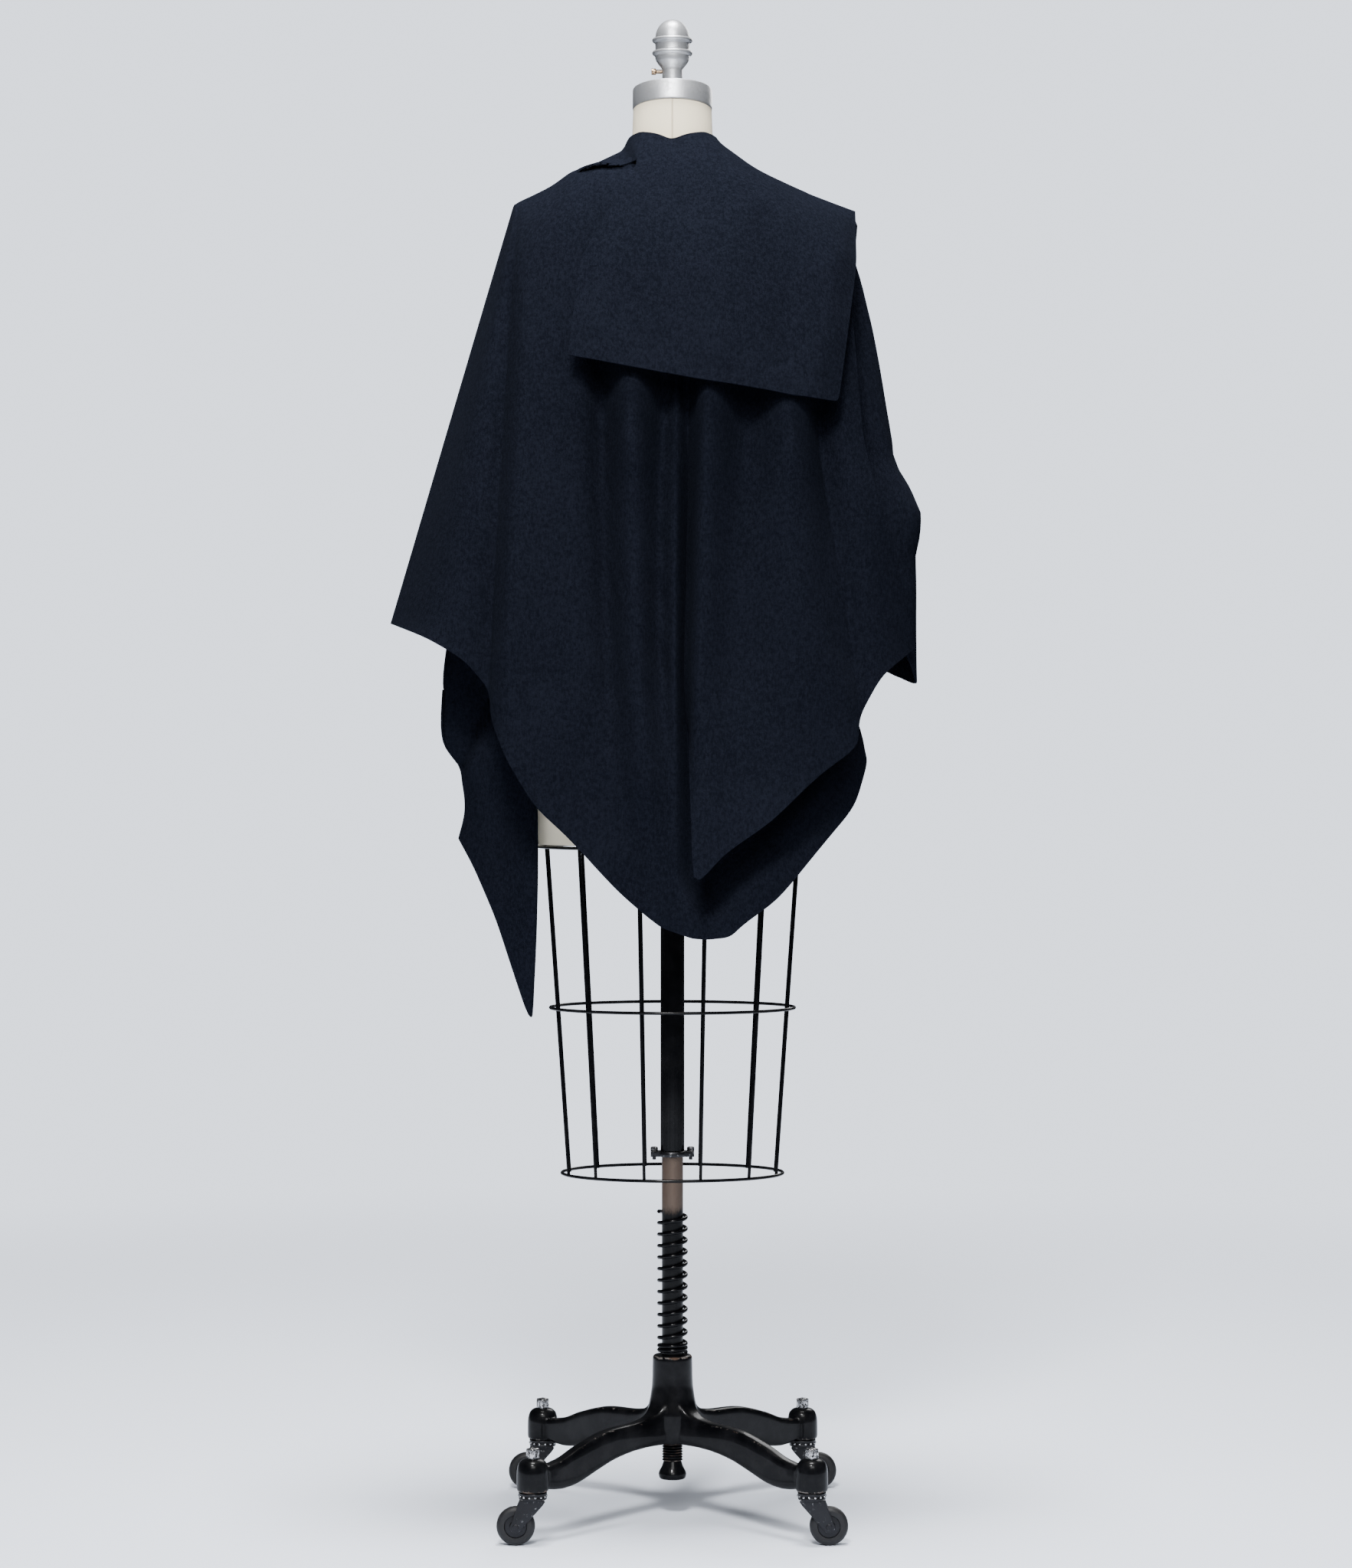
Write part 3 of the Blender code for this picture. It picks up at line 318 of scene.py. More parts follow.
def rubber():
    tyre = Finish("black_rubber", RUBBER, 0.5, Specular_IOR_Level=0.3)
    dust = tyre.cloud(150.0, 4.0, 0.65)
    tyre.set("Base Color", tyre.mixed(RUBBER, (0.028, 0.026, 0.024), dust.between(0.55, 0.85)))
    tyre.set("Roughness", 0.42 + dust * 0.3)
    tyre.relief(dust, 0.0002)
    return tyre.material


FELT_FINISH = felt()
LINEN_FINISH = linen()
SILVER_FINISH = silver()
BRASS_FINISH = brass()
STEEL_FINISH = enamel()
IRON_FINISH = enamel("black_iron", wear=1.6, dusty=0.006, rough=0.27)
BROWN_FINISH = brown_steel()
DARK_FINISH = dark_steel()
CHROME_FINISH = worn_chrome()
RUBBER_FINISH = rubber()


def shown(name, data):
    """An object with this data, in the scene."""
    made = bpy.data.objects.new(name, data)
    bpy.context.scene.collection.objects.link(made)
    return made


def put(name, mesh, material, body, stands_for=(), place=(0, 0, 0), sharp=38):
    """A piece in its place on its body, for the CAD nodes that it stands for."""
    mesh.shade_smooth()
    mesh.set_sharp_from_angle(angle=math.radians(sharp))
    mesh.materials.clear()
    mesh.materials.append(material)
    mesh.transform(Matrix.Translation(place))
    piece = shown(name, mesh)
    mark_edges(mesh)
    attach(piece, body)
    if stands_for:
        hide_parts(*stands_for)
    return piece


def mesh_of(build, name):
    """A mesh from a function that fills a bmesh."""
    bm = bmesh.new()
    build(bm)
    bmesh.ops.recalc_face_normals(bm, faces=bm.faces)
    mesh = bpy.data.meshes.new(name)
    bm.to_mesh(mesh)
    bm.free()
    return mesh


def read_points(mesh, field="co"):
    values = np.empty(len(mesh.vertices) * 3)
    mesh.vertices.foreach_get(field, values)
    return values.reshape(-1, 3)


def edge_ends(mesh):
    """The two points of each of the mesh's edges."""
    pairs = np.empty(len(mesh.edges) * 2, int)
    mesh.edges.foreach_get("vertices", pairs)
    return pairs.reshape(-1, 2)


def mark_edges(mesh):
    """Give each point a value for how far it stands out as an edge, from 0 to 1."""
    spots = read_points(mesh)
    normals = read_points(mesh, "normal")
    a, b = edge_ends(mesh).T
    run = spots[b] - spots[a]
    length = np.maximum(np.linalg.norm(run, axis=1), 1e-7)
    bend = ((normals[b] - normals[a]) * run).sum(1) / length
    total = np.zeros(len(spots))
    near = np.zeros(len(spots))
    for end in (a, b):
        np.add.at(total, end, bend)
        np.add.at(near, end, 1.0)
    out = np.clip(total / np.maximum(near, 1) * 2.2, 0, 1)
    mesh.attributes.new("edge", "FLOAT", "POINT").data.foreach_set("value", out)


def arcs(points, radius, parts=4):
    """A profile with its inner corners rounded."""
    points = [Vector(point) for point in points]
    made = [points[0]]
    for before, corner, after in zip(points, points[1:], points[2:]):
        back = before - corner
        ahead = after - corner
        cut = min(radius, 0.45 * back.length, 0.45 * ahead.length)
        start = corner + back.normalized() * cut
        end = corner + ahead.normalized() * cut
        for part in range(parts + 1):
            u = part / parts
            made.append(start * (1 - u) ** 2 + corner * 2 * u * (1 - u) + end * u * u)
    made.append(points[-1])
    return made


def turned_mesh(profile, name, steps=72):
    """A mesh turned about Z from (radius, height) points."""
    def build(bm):
        points = [bm.verts.new((radius, 0, height)) for radius, height in profile]
        lines = [bm.edges.new(pair) for pair in zip(points, points[1:])]
        bmesh.ops.spin(bm, geom=points + lines, cent=(0, 0, 0), axis=(0, 0, 1), angle=2 * math.pi,
                       steps=steps, use_merge=True)
        bmesh.ops.remove_doubles(bm, verts=bm.verts, dist=0.000001)
    return mesh_of(build, name)


def loft_mesh(rings, name, capped=True):
    """A mesh over rings of points. Without caps, its last ring is joined to its first."""
    def build(bm):
        rows = [[bm.verts.new(point) for point in ring] for ring in rings]
        for low, high in zip(rows, rows[1:]):
            for k, vert in enumerate(low):
                after = (k + 1) % len(low)
                bm.faces.new((vert, low[after], high[after], high[k]))
        if capped:
            bm.faces.new(rows[0])
            bm.faces.new(rows[-1])
        else:
            bmesh.ops.remove_doubles(bm, verts=bm.verts, dist=0.000001)
    return mesh_of(build, name)


def plate_mesh(outline, low, high, name, bevel=0.0004):
    """A plate with rounded edges: an outline in XZ between two values of Y."""
    def build(bm):
        face = bm.faces.new([bm.verts.new((u, low, v)) for u, v in outline])
        grown = bmesh.ops.extrude_face_region(bm, geom=[face])
        moved = [item for item in grown["geom"] if isinstance(item, bmesh.types.BMVert)]
        bmesh.ops.translate(bm, verts=moved, vec=(0, high - low, 0))
        rims = [edge for edge in bm.edges
                if abs(edge.verts[0].co.y - edge.verts[1].co.y) < 1e-7]
        bmesh.ops.bevel(bm, geom=rims, offset=bevel, segments=2, affect="EDGES", profile=0.5)
    return mesh_of(build, name)


def block_mesh(size, bevel, name):
    """A box about its own middle with rounded edges."""
    def build(bm):
        bmesh.ops.create_cube(bm, size=1.0, matrix=Matrix.Diagonal((*size, 1.0)))
        bmesh.ops.bevel(bm, geom=bm.edges, offset=bevel, segments=3, affect="EDGES", profile=0.5)
    return mesh_of(build, name)


def rod_mesh(points, radius, name, closed=False, sides=12):
    """A round rod along points."""
    spots = [Vector(point) for point in points]
    count = len(spots)
    rings = []
    across = None
    for k, spot in enumerate(spots):
        before = spots[(k - 1) % count] if closed or k else spot
        after = spots[(k + 1) % count] if closed or k + 1 < count else spot
        ahead = (after - before).normalized()
        across = Vector((0, 0, 1)) if across is None else across
        across = (across - across.dot(ahead) * ahead).normalized()
        if across.length < 0.5:
            across = ahead.orthogonal().normalized()
        up = ahead.cross(across)
        rings.append([spot + radius * (math.cos(a) * across + math.sin(a) * up)
                      for a in np.linspace(0, 2 * math.pi, sides, endpoint=False)])
    if closed:
        rings.append(rings[0])
    return loft_mesh(rings, name, capped=not closed)


def solid_copy(node, bevel):
    """A copy of a CAD node's mesh with its edges rounded."""
    def build(bm):
        bm.from_mesh(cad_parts[node].data)
        bmesh.ops.remove_doubles(bm, verts=bm.verts, dist=0.00002)
        bmesh.ops.dissolve_limit(bm, angle_limit=math.radians(1), verts=bm.verts, edges=bm.edges)
        crisp = [edge for edge in bm.edges
                 if edge.is_manifold and edge.calc_face_angle(0) > math.radians(40)]
        bmesh.ops.bevel(bm, geom=crisp, offset=bevel, segments=2, affect="EDGES", clamp_overlap=True)
    return mesh_of(build, node)


def smooth_through(values, parts):
    """Values on smooth curves through the given rows."""
    values = np.asarray(values, float)
    padded = np.vstack([2 * values[0] - values[1], values, 2 * values[-1] - values[-2]])
    rows = []
    for k in range(1, len(padded) - 2):
        p0, p1, p2, p3 = padded[k - 1:k + 3]
        for part in range(parts):
            u = part / parts
            rows.append(0.5 * (2 * p1 + (p2 - p0) * u + (2 * p0 - 5 * p1 + 4 * p2 - p3) * u * u
                               + (3 * p1 - p0 - 3 * p2 + p3) * u ** 3))
    rows.append(values[-1])
    return np.array(rows)


def on_back(px, py, y=BACK_Y):
    """The place (x, z) that a pixel of the photograph shows, on cloth that hangs at depth y."""
    nearer = (y - CAMERA_PLACE[1]) / -CAMERA_PLACE[1]
    return ((px - MIDDLE_PX) * PIXEL * nearer,
            CAMERA_PLACE[2] + (HORIZON_PY - py) * PIXEL * nearer)


# A crease runs from its top over its middle to its foot, in pixels of the photograph. It is a
# ridge where push is above 0 and a trough where it is below; width and push are in metres.
Crease = namedtuple("Crease", "name top_px top_py middle_px middle_py foot_px foot_py width push")

BACK_CREASES = (
    Crease("side_trough", 664, 300, 654, 600, 640, 880, 0.011, -0.0065),
    Crease("side_ridge", 690, 325, 671, 650, 655, 900, 0.017, 0.0036),
    Crease("plain_trough", 722, 440, 716, 720, 712, 930, 0.021, -0.0045),
    Crease("plain_ridge", 752, 440, 748, 720, 752, 960, 0.018, 0.0026),
    Crease("outer_trough", 785, 360, 788, 650, 800, 960, 0.012, -0.0155),
    Crease("outer_ridge", 824, 360, 828, 846, 848, 1048, 0.0185, 0.0135),
    Crease("inner_trough", 876, 360, 860, 650, 863, 960, 0.011, -0.0142),
    Crease("small_ridge", 886, 600, 879, 800, 874, 960, 0.009, 0.0016),
    Crease("middle_trough", 905, 540, 903, 750, 890, 1080, 0.01, -0.0022),
    Crease("middle_ridge", 933, 360, 922, 650, 913, 940, 0.0165, 0.0125),
    Crease("right_trough", 982, 360, 968, 700, 955, 930, 0.014, -0.014),
    Crease("right_ridge", 1030, 360, 1034, 700, 1050, 930, 0.018, 0.0095),
    Crease("deep_trough", 1072, 400, 1080, 720, 1120, 890, 0.011, -0.0118),
    Crease("low_pull", 1010, 700, 985, 900, 930, 1080, 0.016, -0.0034),
    Crease("left_head", 823, 400, 824, 500, 827, 640, 0.021, 0.0095),
    Crease("middle_head", 933, 400, 932, 500, 924, 640, 0.021, 0.0095),
    Crease("right_head", 1030, 400, 1031, 500, 1033, 640, 0.018, 0.0085),
    Crease("left_mouth", 783, 400, 784, 500, 787, 600, 0.014, -0.006),
    Crease("middle_mouth", 878, 400, 877, 500, 872, 600, 0.013, -0.006),
    Crease("right_mouth", 982, 400, 981, 500, 976, 600, 0.014, -0.006),
)
SLING_CREASES = (
    Crease("sling_ridge", 930, 1235, 1010, 1190, 1090, 1075, 0.01, 0.003),
    Crease("sling_trough", 1020, 1120, 1060, 1080, 1105, 1010, 0.01, -0.006),
)
FALL_CREASES = (
    Crease("shoulder_pull", 990, 225, 960, 330, 935, 500, 0.022, 0.003),
    Crease("blade_trough", 900, 215, 880, 340, 868, 490, 0.018, -0.0026),
    Crease("left_pull", 850, 230, 810, 320, 775, 460, 0.018, 0.0026),
    Crease("right_trough", 1050, 268, 1030, 390, 1015, 500, 0.02, -0.0028),
    Crease("right_pull", 1098, 290, 1086, 400, 1070, 505, 0.012, 0.0024),
)
FRONT_CREASES = (
    Crease("left_fold", 760, 330, 742, 600, 735, 1000, 0.016, 0.004),
    Crease("left_trough", 800, 360, 792, 640, 790, 1020, 0.014, -0.0036),
    Crease("middle_fold", 838, 420, 834, 700, 832, 1040, 0.012, 0.003),
    Crease("right_fold", 930, 400, 934, 700, 936, 1030, 0.014, 0.0034),
    Crease("right_trough", 975, 350, 985, 640, 992, 1010, 0.015, -0.0038),
    Crease("outer_fold", 1020, 330, 1045, 620, 1060, 980, 0.016, 0.0038),
    Crease("side_trough", 1065, 330, 1100, 620, 1120, 930, 0.014, -0.003),
)
TAIL_CREASES = (
    Crease("tail_ridge", 638, 946, 622, 1060, 640, 1180, 0.007, 0.0016),
    Crease("tail_trough", 660, 960, 652, 1100, 668, 1230, 0.008, -0.0018),
)


# Half widths of the right side by level, and the right front's hem as (x, z) in the solid and here
SIDE_RIGHT = ((1.466, 0.205), (1.417, 0.208), (1.335, 0.227), (1.25, 0.243), (1.188, 0.256),
              (1.152, 0.273), (1.128, 0.282), (1.105, 0.28), (1.079, 0.274), (0.935, 0.278))
# The shoulder slit's line as (x, z), and how deep its strip lies as (x, y)
SLIT = ((-0.1122, 1.5044), (-0.0833, 1.5112), (-0.0535, 1.5078), (-0.0357, 1.5061))
SLIT_DEPTH = ((-0.1122, -0.031), (-0.092, -0.043), (-0.075, -0.05), (-0.062, -0.055),
              (-0.045, -0.06))
POINT_TIP = (912, 1152)      # the right back's point and its side end, in pixels
POINT_SIDE = (1159, 877)
TAIL_FOLD_X = 0.2035         # the tail's crossing fold passes through (-X, Z), leaning left as it falls
TAIL_FOLD_Z = 0.901
TAIL_ACROSS = (-0.908, 0.4195)
TAIL_HOLLOW = 0.026          # depth at the fold, less above it
TAIL_RISE = 0.07
TAIL_NARROWING = 0.037
CURL_IN = 0.006              # the left back's edge goes in this far at the slit
SLING_HOLLOW = 0.029         # depth of the sling's hollow behind the point
SHOULDER_Z = 1.466
TURN_BACK_FOOT = 1.16
RIGHT_EDGE = ((1.466, 0.2045), (1.2, 0.2535), (0.93, 0.2775))
TURN_BACK_TOP = 1.325
TURN_BACK_RAISED = 1.42
RIGHT_FRONT_HEM = ((0.16, 0.842), (0.185, 0.845), (0.225, 0.875), (0.255, 0.91), (0.2775, 0.935))
RIGHT_FRONT_HEM_CUT = ((0.16, 0.842), (0.185, 0.874), (0.205, 0.907), (0.228, 0.949), (0.245, 0.952),
                       (0.262, 0.944), (0.2775, 0.935))


def outer_skin(node):
    """The outer side of a cloth wall as quads: the wall without its rim and its inner side."""
    bm = bmesh.new()
    bm.from_mesh(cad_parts[node].data)
    bmesh.ops.remove_doubles(bm, verts=bm.verts, dist=0.00002)
    bm.normal_update()
    through = [edge for edge in bm.edges if abs(edge.calc_length() - WALL) < RIM_TOLERANCE]
    rim = {face for edge in through for face in edge.link_faces}
    rim |= {face for face in bm.faces for axis in (0, 1)
            if abs(face.normal[axis]) > 0.9 and all(abs(vert.co[axis]) < MEETING for vert in face.verts)}
    bmesh.ops.delete(bm, geom=list(rim), context="FACES")
    bm.normal_update()
    seen = set()
    inner = set()
    for start in bm.faces:
        if start in seen:
            continue
        island = [start]
        seen.add(start)
        for face in island:
            joined = [edge for edge in face.edges if edge.is_manifold and edge.calc_face_angle() < KNIFE]
            for other in {other for edge in joined for other in edge.link_faces} - seen:
                seen.add(other)
                island.append(other)
        outward = sum(face.calc_area() * face.normal.dot(face.calc_center_median() * LEVEL)
                      for face in island)
        if outward < 0:
            inner.update(island)
    bmesh.ops.delete(bm, geom=list(inner), context="FACES")
    bmesh.ops.join_triangles(bm, faces=bm.faces, angle_face_threshold=math.radians(75),
                             angle_shape_threshold=math.radians(75))
    mesh = bpy.data.meshes.new(node + "_skin")
    bm.to_mesh(mesh)
    bm.free()
    return mesh


def changed(mesh, *steps):
    """The mesh after modifiers, each given by its kind and its settings."""
    holder = shown("holder", mesh)
    for kind, settings in steps:
        step = holder.modifiers.new(kind, kind)
        for name, value in settings.items():
            setattr(step, name, value)
    bpy.context.view_layer.update()
    made = bpy.data.meshes.new_from_object(holder.evaluated_get(bpy.context.evaluated_depsgraph_get()))
    bpy.data.objects.remove(holder)
    return made


def finer(mesh, levels):
    """The mesh after subdivision, with its corners kept."""
    return changed(mesh, ("SUBSURF", {"levels": levels, "render_levels": levels,
                                      "boundary_smooth": "PRESERVE_CORNERS"}))


def crease_push(x, z, crease):
    """How far one crease pushes each point out."""
    top = np.array(on_back(crease.top_px, crease.top_py))
    middle = np.array(on_back(crease.middle_px, crease.middle_py))
    foot = np.array(on_back(crease.foot_px, crease.foot_py))
    bend = 2 * middle - (top + foot) / 2
    best = np.full(len(x), 9.0)
    along = np.zeros(len(x))
    for u in np.linspace(0, 1, 33):
        spot = top * (1 - u) ** 2 + bend * 2 * u * (1 - u) + foot * u * u
        away = (x - spot[0]) ** 2 + (z - spot[1]) ** 2
        nearer = away < best
        best = np.where(nearer, away, best)
        along = np.where(nearer, u, along)
    taper = np.clip(along / 0.18, 0, 1) * np.clip((1 - along) / 0.1, 0.35, 1)
    return crease.push * np.exp(-best / crease.width ** 2) * taper


def soft_step(values, low, high):
    share = np.clip((values - low) / (high - low), 0, 1)
    return share * share * (3 - 2 * share)


def write_points(mesh, spots):
    mesh.vertices.foreach_set("co", spots.ravel())
    mesh.update()


def open_edge(mesh):
    """Which points lie on the mesh's open edge, and the pairs of points along it."""
    uses = np.zeros(len(mesh.loops), int)
    mesh.loops.foreach_get("edge_index", uses)
    count = np.bincount(uses, minlength=len(mesh.edges))
    pairs = edge_ends(mesh)[count == 1]
    on_edge = np.zeros(len(mesh.vertices), bool)
    on_edge[pairs.ravel()] = True
    return on_edge, pairs


def by_level(table, z):
    """A width at each height, from (height, width) rows with the highest first."""
    levels, widths = np.array(table[::-1]).T
    return np.interp(z, levels, widths)


def right_front_shape(spots):
    """Run the turned-back side up behind the fall, and cut the hem clear of the back's hem."""
    x, y, z = spots.T
    side = soft_step(x, 0.15, 0.2)
    higher = np.interp(z, (0, TURN_BACK_FOOT, TURN_BACK_TOP, SHOULDER_Z),
                       (0, TURN_BACK_FOOT, TURN_BACK_RAISED, SHOULDER_Z))
    raised = z + side * (higher - z)
    x = x - side * (by_level(SIDE_RIGHT, z) - by_level(SIDE_RIGHT, raised))
    spots[:, 1] = y * (1 - 0.4 * side * soft_step(raised, 1.25, TURN_BACK_RAISED) * (y < 0))
    x += soft_step(x, 0.205, 0.262) * (by_level(SIDE_RIGHT, raised) - by_level(RIGHT_EDGE, raised))
    x -= 0.004 * soft_step(raised, 1.38, 1.43) * soft_step(x, 0.17, 0.2)
    was, becomes = (np.interp(x, *np.array(hem).T) for hem in (RIGHT_FRONT_HEM, RIGHT_FRONT_HEM_CUT))
    near = 1 - soft_step(raised, was, was + 0.14)
    spots[:, 0] = x
    spots[:, 2] = raised + near * (becomes - was) * soft_step(x, 0.16, 0.18)


def left_tail_shape(spots):
    """Run the tail's top on up behind the wing, and hollow it above the fold that crosses it."""
    under = soft_step(spots[:, 2], 0.855, 0.925)
    spots[:, 2] += TAIL_RISE * under
    spots[:, 0] *= 1 - TAIL_NARROWING * under
    x, y, z = spots.T
    above = (x + TAIL_FOLD_X) * TAIL_ACROSS[0] + (z - TAIL_FOLD_Z) * TAIL_ACROSS[1]
    spots[:, 1] = y + (TAIL_HOLLOW - 0.4 * np.clip(above, 0, 0.06)) * soft_step(above, -0.003, 0.008)


def back_left_shape(spots):
    """Curl the edge at the shoulder slit in, and hollow the sling behind the right back's point."""
    x, y, z = spots.T
    edge = np.interp(x, *np.array(SLIT).T)
    curl = soft_step(z, edge - 0.007, edge) * soft_step(x, -0.125, -0.112)
    curl *= 1 - soft_step(x, -0.032, -0.026)
    rise = 0.001 + 0.005 * soft_step(x, -0.075, -0.06) + 0.006 * soft_step(x, -0.058, -0.05)
    spots[:, 2] = z + curl * rise
    low = np.array(on_back(*POINT_TIP))
    run = np.array(on_back(*POINT_SIDE)) - low
    run /= np.linalg.norm(run)
    along = (x - low[0]) * run[0] + (z - low[1]) * run[1]
    below = (x - low[0]) * run[1] - (z - low[1]) * run[0]
    hollow = (1 - soft_step(below, 0.004, 0.056)) * soft_step(along, -0.03, 0.004)
    hollow *= soft_step(x, 0.002, 0.022)
    spots[:, 1] = y + CURL_IN * curl + SLING_HOLLOW * hollow


def fall_shape(spots):
    """Lap the strip above the shoulder slit over the left back's edge."""
    x, y, z = spots.T
    edge = np.interp(x, *np.array(SLIT).T)
    front = np.interp(x, *np.array(SLIT_DEPTH).T)
    strip = soft_step(x, -0.12, -0.098) * (1 - soft_step(x, -0.052, -0.034))
    strip *= soft_step(z, edge - 0.016, edge - 0.01)
    lip = strip * (1 - soft_step(z, edge, edge + 0.011))
    spots[:, 1] = y + lip * (front - 0.0032 - y)
    spots[:, 2] = z + strip * np.maximum(edge - z, 0)


def keep_off(spots):
    """Hold the back's cloth clear of the form behind it."""
    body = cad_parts["torso_form"].data
    form_tree = BVHTree.FromPolygons(read_points(body).tolist(),
                                     [face.vertices[:] for face in body.polygons])
    x, y, z = spots.T
    for k in np.flatnonzero((z < HELD_BELOW) & (np.abs(x) < HELD_WITHIN) & (y < HELD_BEHIND)):
        hit = form_tree.ray_cast(Vector((x[k], RAY_START, z[k])), Vector((0, 1, 0)))[0]
        if hit:
            y[k] = min(y[k], hit.y - FORM_GAP)


def hang(mesh, creases, side):
    """Push creases and the uneven hang of the cloth into a skin, on the side that faces Y's sign."""
    spots = read_points(mesh)
    normals = read_points(mesh, "normal")
    push = np.zeros(len(spots))
    for crease in creases:
        push += crease_push(spots[:, 0], spots[:, 2], crease)
    push *= np.clip(normals[:, 1] * side * 2.5, 0, 1)
    push += [0.0014 * noise.noise(Vector((x * 26, y * 26, z * 6)))
             + 0.0005 * noise.noise(Vector((x * 75 + 9, y * 75, z * 38))) for x, y, z in spots]
    on_edge, _ = open_edge(mesh)
    push[on_edge & (spots[:, 2] > STILL_ABOVE)] = 0.0
    spots[:, 1] += push * side
    if side < 0:
        keep_off(spots)
    write_points(mesh, spots)


def sew(mesh, other, near, far, lap):
    """Lap a skin's open edge over another skin's edge: fully where it is near, not at all if far."""
    spots = read_points(mesh)
    line = read_points(other)
    on_edge, _ = open_edge(mesh)
    _, pairs = open_edge(other)
    start = line[pairs[:, 0]]
    run = line[pairs[:, 1]] - start
    for k in np.flatnonzero(on_edge):
        away = spots[k] - start
        share = np.clip((away * run).sum(1) / (run * run).sum(1), 0, 1)
        nearest = start + run * share[:, None]
        gaps = np.linalg.norm(nearest - spots[k], axis=1)
        hold = 1 - soft_step(gaps.min(), near, far)
        spots[k] += hold * (nearest[gaps.argmin()] + lap - spots[k])
    write_points(mesh, spots)


def even(mesh, rounds):
    """Take the small bends out of a skin's depth, with its open edge held."""
    spots = read_points(mesh)
    on_edge, _ = open_edge(mesh)
    a, b = edge_ends(mesh).T
    near = np.bincount(a, minlength=len(spots)) + np.bincount(b, minlength=len(spots))
    depth = spots[:, 1]
    for _ in range(rounds):
        total = np.bincount(a, depth[b], len(spots)) + np.bincount(b, depth[a], len(spots))
        depth = np.where(on_edge, depth, total / np.maximum(near, 1))
    spots[:, 1] = depth
    write_points(mesh, spots)


def skin(node, creases, side, shape=None, levels=SKIN_LEVELS):
    """The outer side of one piece of the jacket, fine enough for its creases."""
    mesh = finer(outer_skin(node), levels)
    if side < 0:
        even(mesh, EVEN_ROUNDS)
    if shape:
        spots = read_points(mesh)
        shape(spots)
        write_points(mesh, spots)
    hang(mesh, creases, side)
    return mesh


def thick(mesh):
    """The wall inside a skin."""
    return changed(mesh, ("SOLIDIFY", {"thickness": WALL, "offset": -1.0}))


def cloth_piece(node, mesh):
    """One cut piece of the jacket: a felt wall inside its skin."""
    piece = put(node + "_felt", thick(mesh), FELT_FINISH, "form", (node,), sharp=60)


def jacket():
    back_left = skin("back_left_panel", BACK_CREASES + SLING_CREASES, -1, back_left_shape)
    back_right = skin("back_right_panel", BACK_CREASES, -1)
    sew(back_right, back_left, SEAM_NEAR, SEAM_FAR, SEAM_LAP)
    even(back_right, SEAM_ROUNDS)
    cloth_piece("back_left_panel", back_left)
    cloth_piece("back_right_panel", back_right)
    cloth_piece("front_left_panel", skin("front_left_panel", FRONT_CREASES, 1))
    cloth_piece("front_right_panel", skin("front_right_panel", FRONT_CREASES, 1, right_front_shape))
    fall = skin("collar_fall", FALL_CREASES, -1, fall_shape, SKIN_LEVELS + 1)
    cloth_piece("collar_fall", fall)
    cloth_piece("left_tail", skin("left_tail", TAIL_CREASES, -1, left_tail_shape))


def form():
    """The linen-covered body: smooth oval sections through those of the solid."""
    spots = np.array([vert.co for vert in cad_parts["torso_form"].data.vertices])
    spots = spots[np.hypot(spots[:, 0], spots[:, 1]) > 0.03]
    levels = sorted({round(float(z), 4) for z in spots[:, 2] if z < 1.56})
    sides = 26
    rows = []
    for z in levels:
        at = spots[np.abs(spots[:, 2] - z) < 0.0002]
        rows.append((z, np.abs(at[:, 0]).max(), np.abs(at[:, 1]).max() / math.cos(math.pi / sides)))
    rows.append((NECK_TOP, NECK_RADIUS, NECK_RADIUS))
    rings = []
    for z, half_x, half_y in smooth_through(rows, 8):
        tip = max(0.0, (z - TILT_FROM) / (NECK_TOP - TILT_FROM))
        ring = []
        for a in np.linspace(0, 2 * math.pi, 120, endpoint=False):
            y = half_y * math.sin(a)
            ring.append((half_x * math.cos(a), y, z - y * math.tan(NECK_TILT) * tip))
        rings.append(ring)
    put("form_cover", loft_mesh(rings, "form_cover"), LINEN_FINISH, "form",
        ("torso_form",), sharp=50)


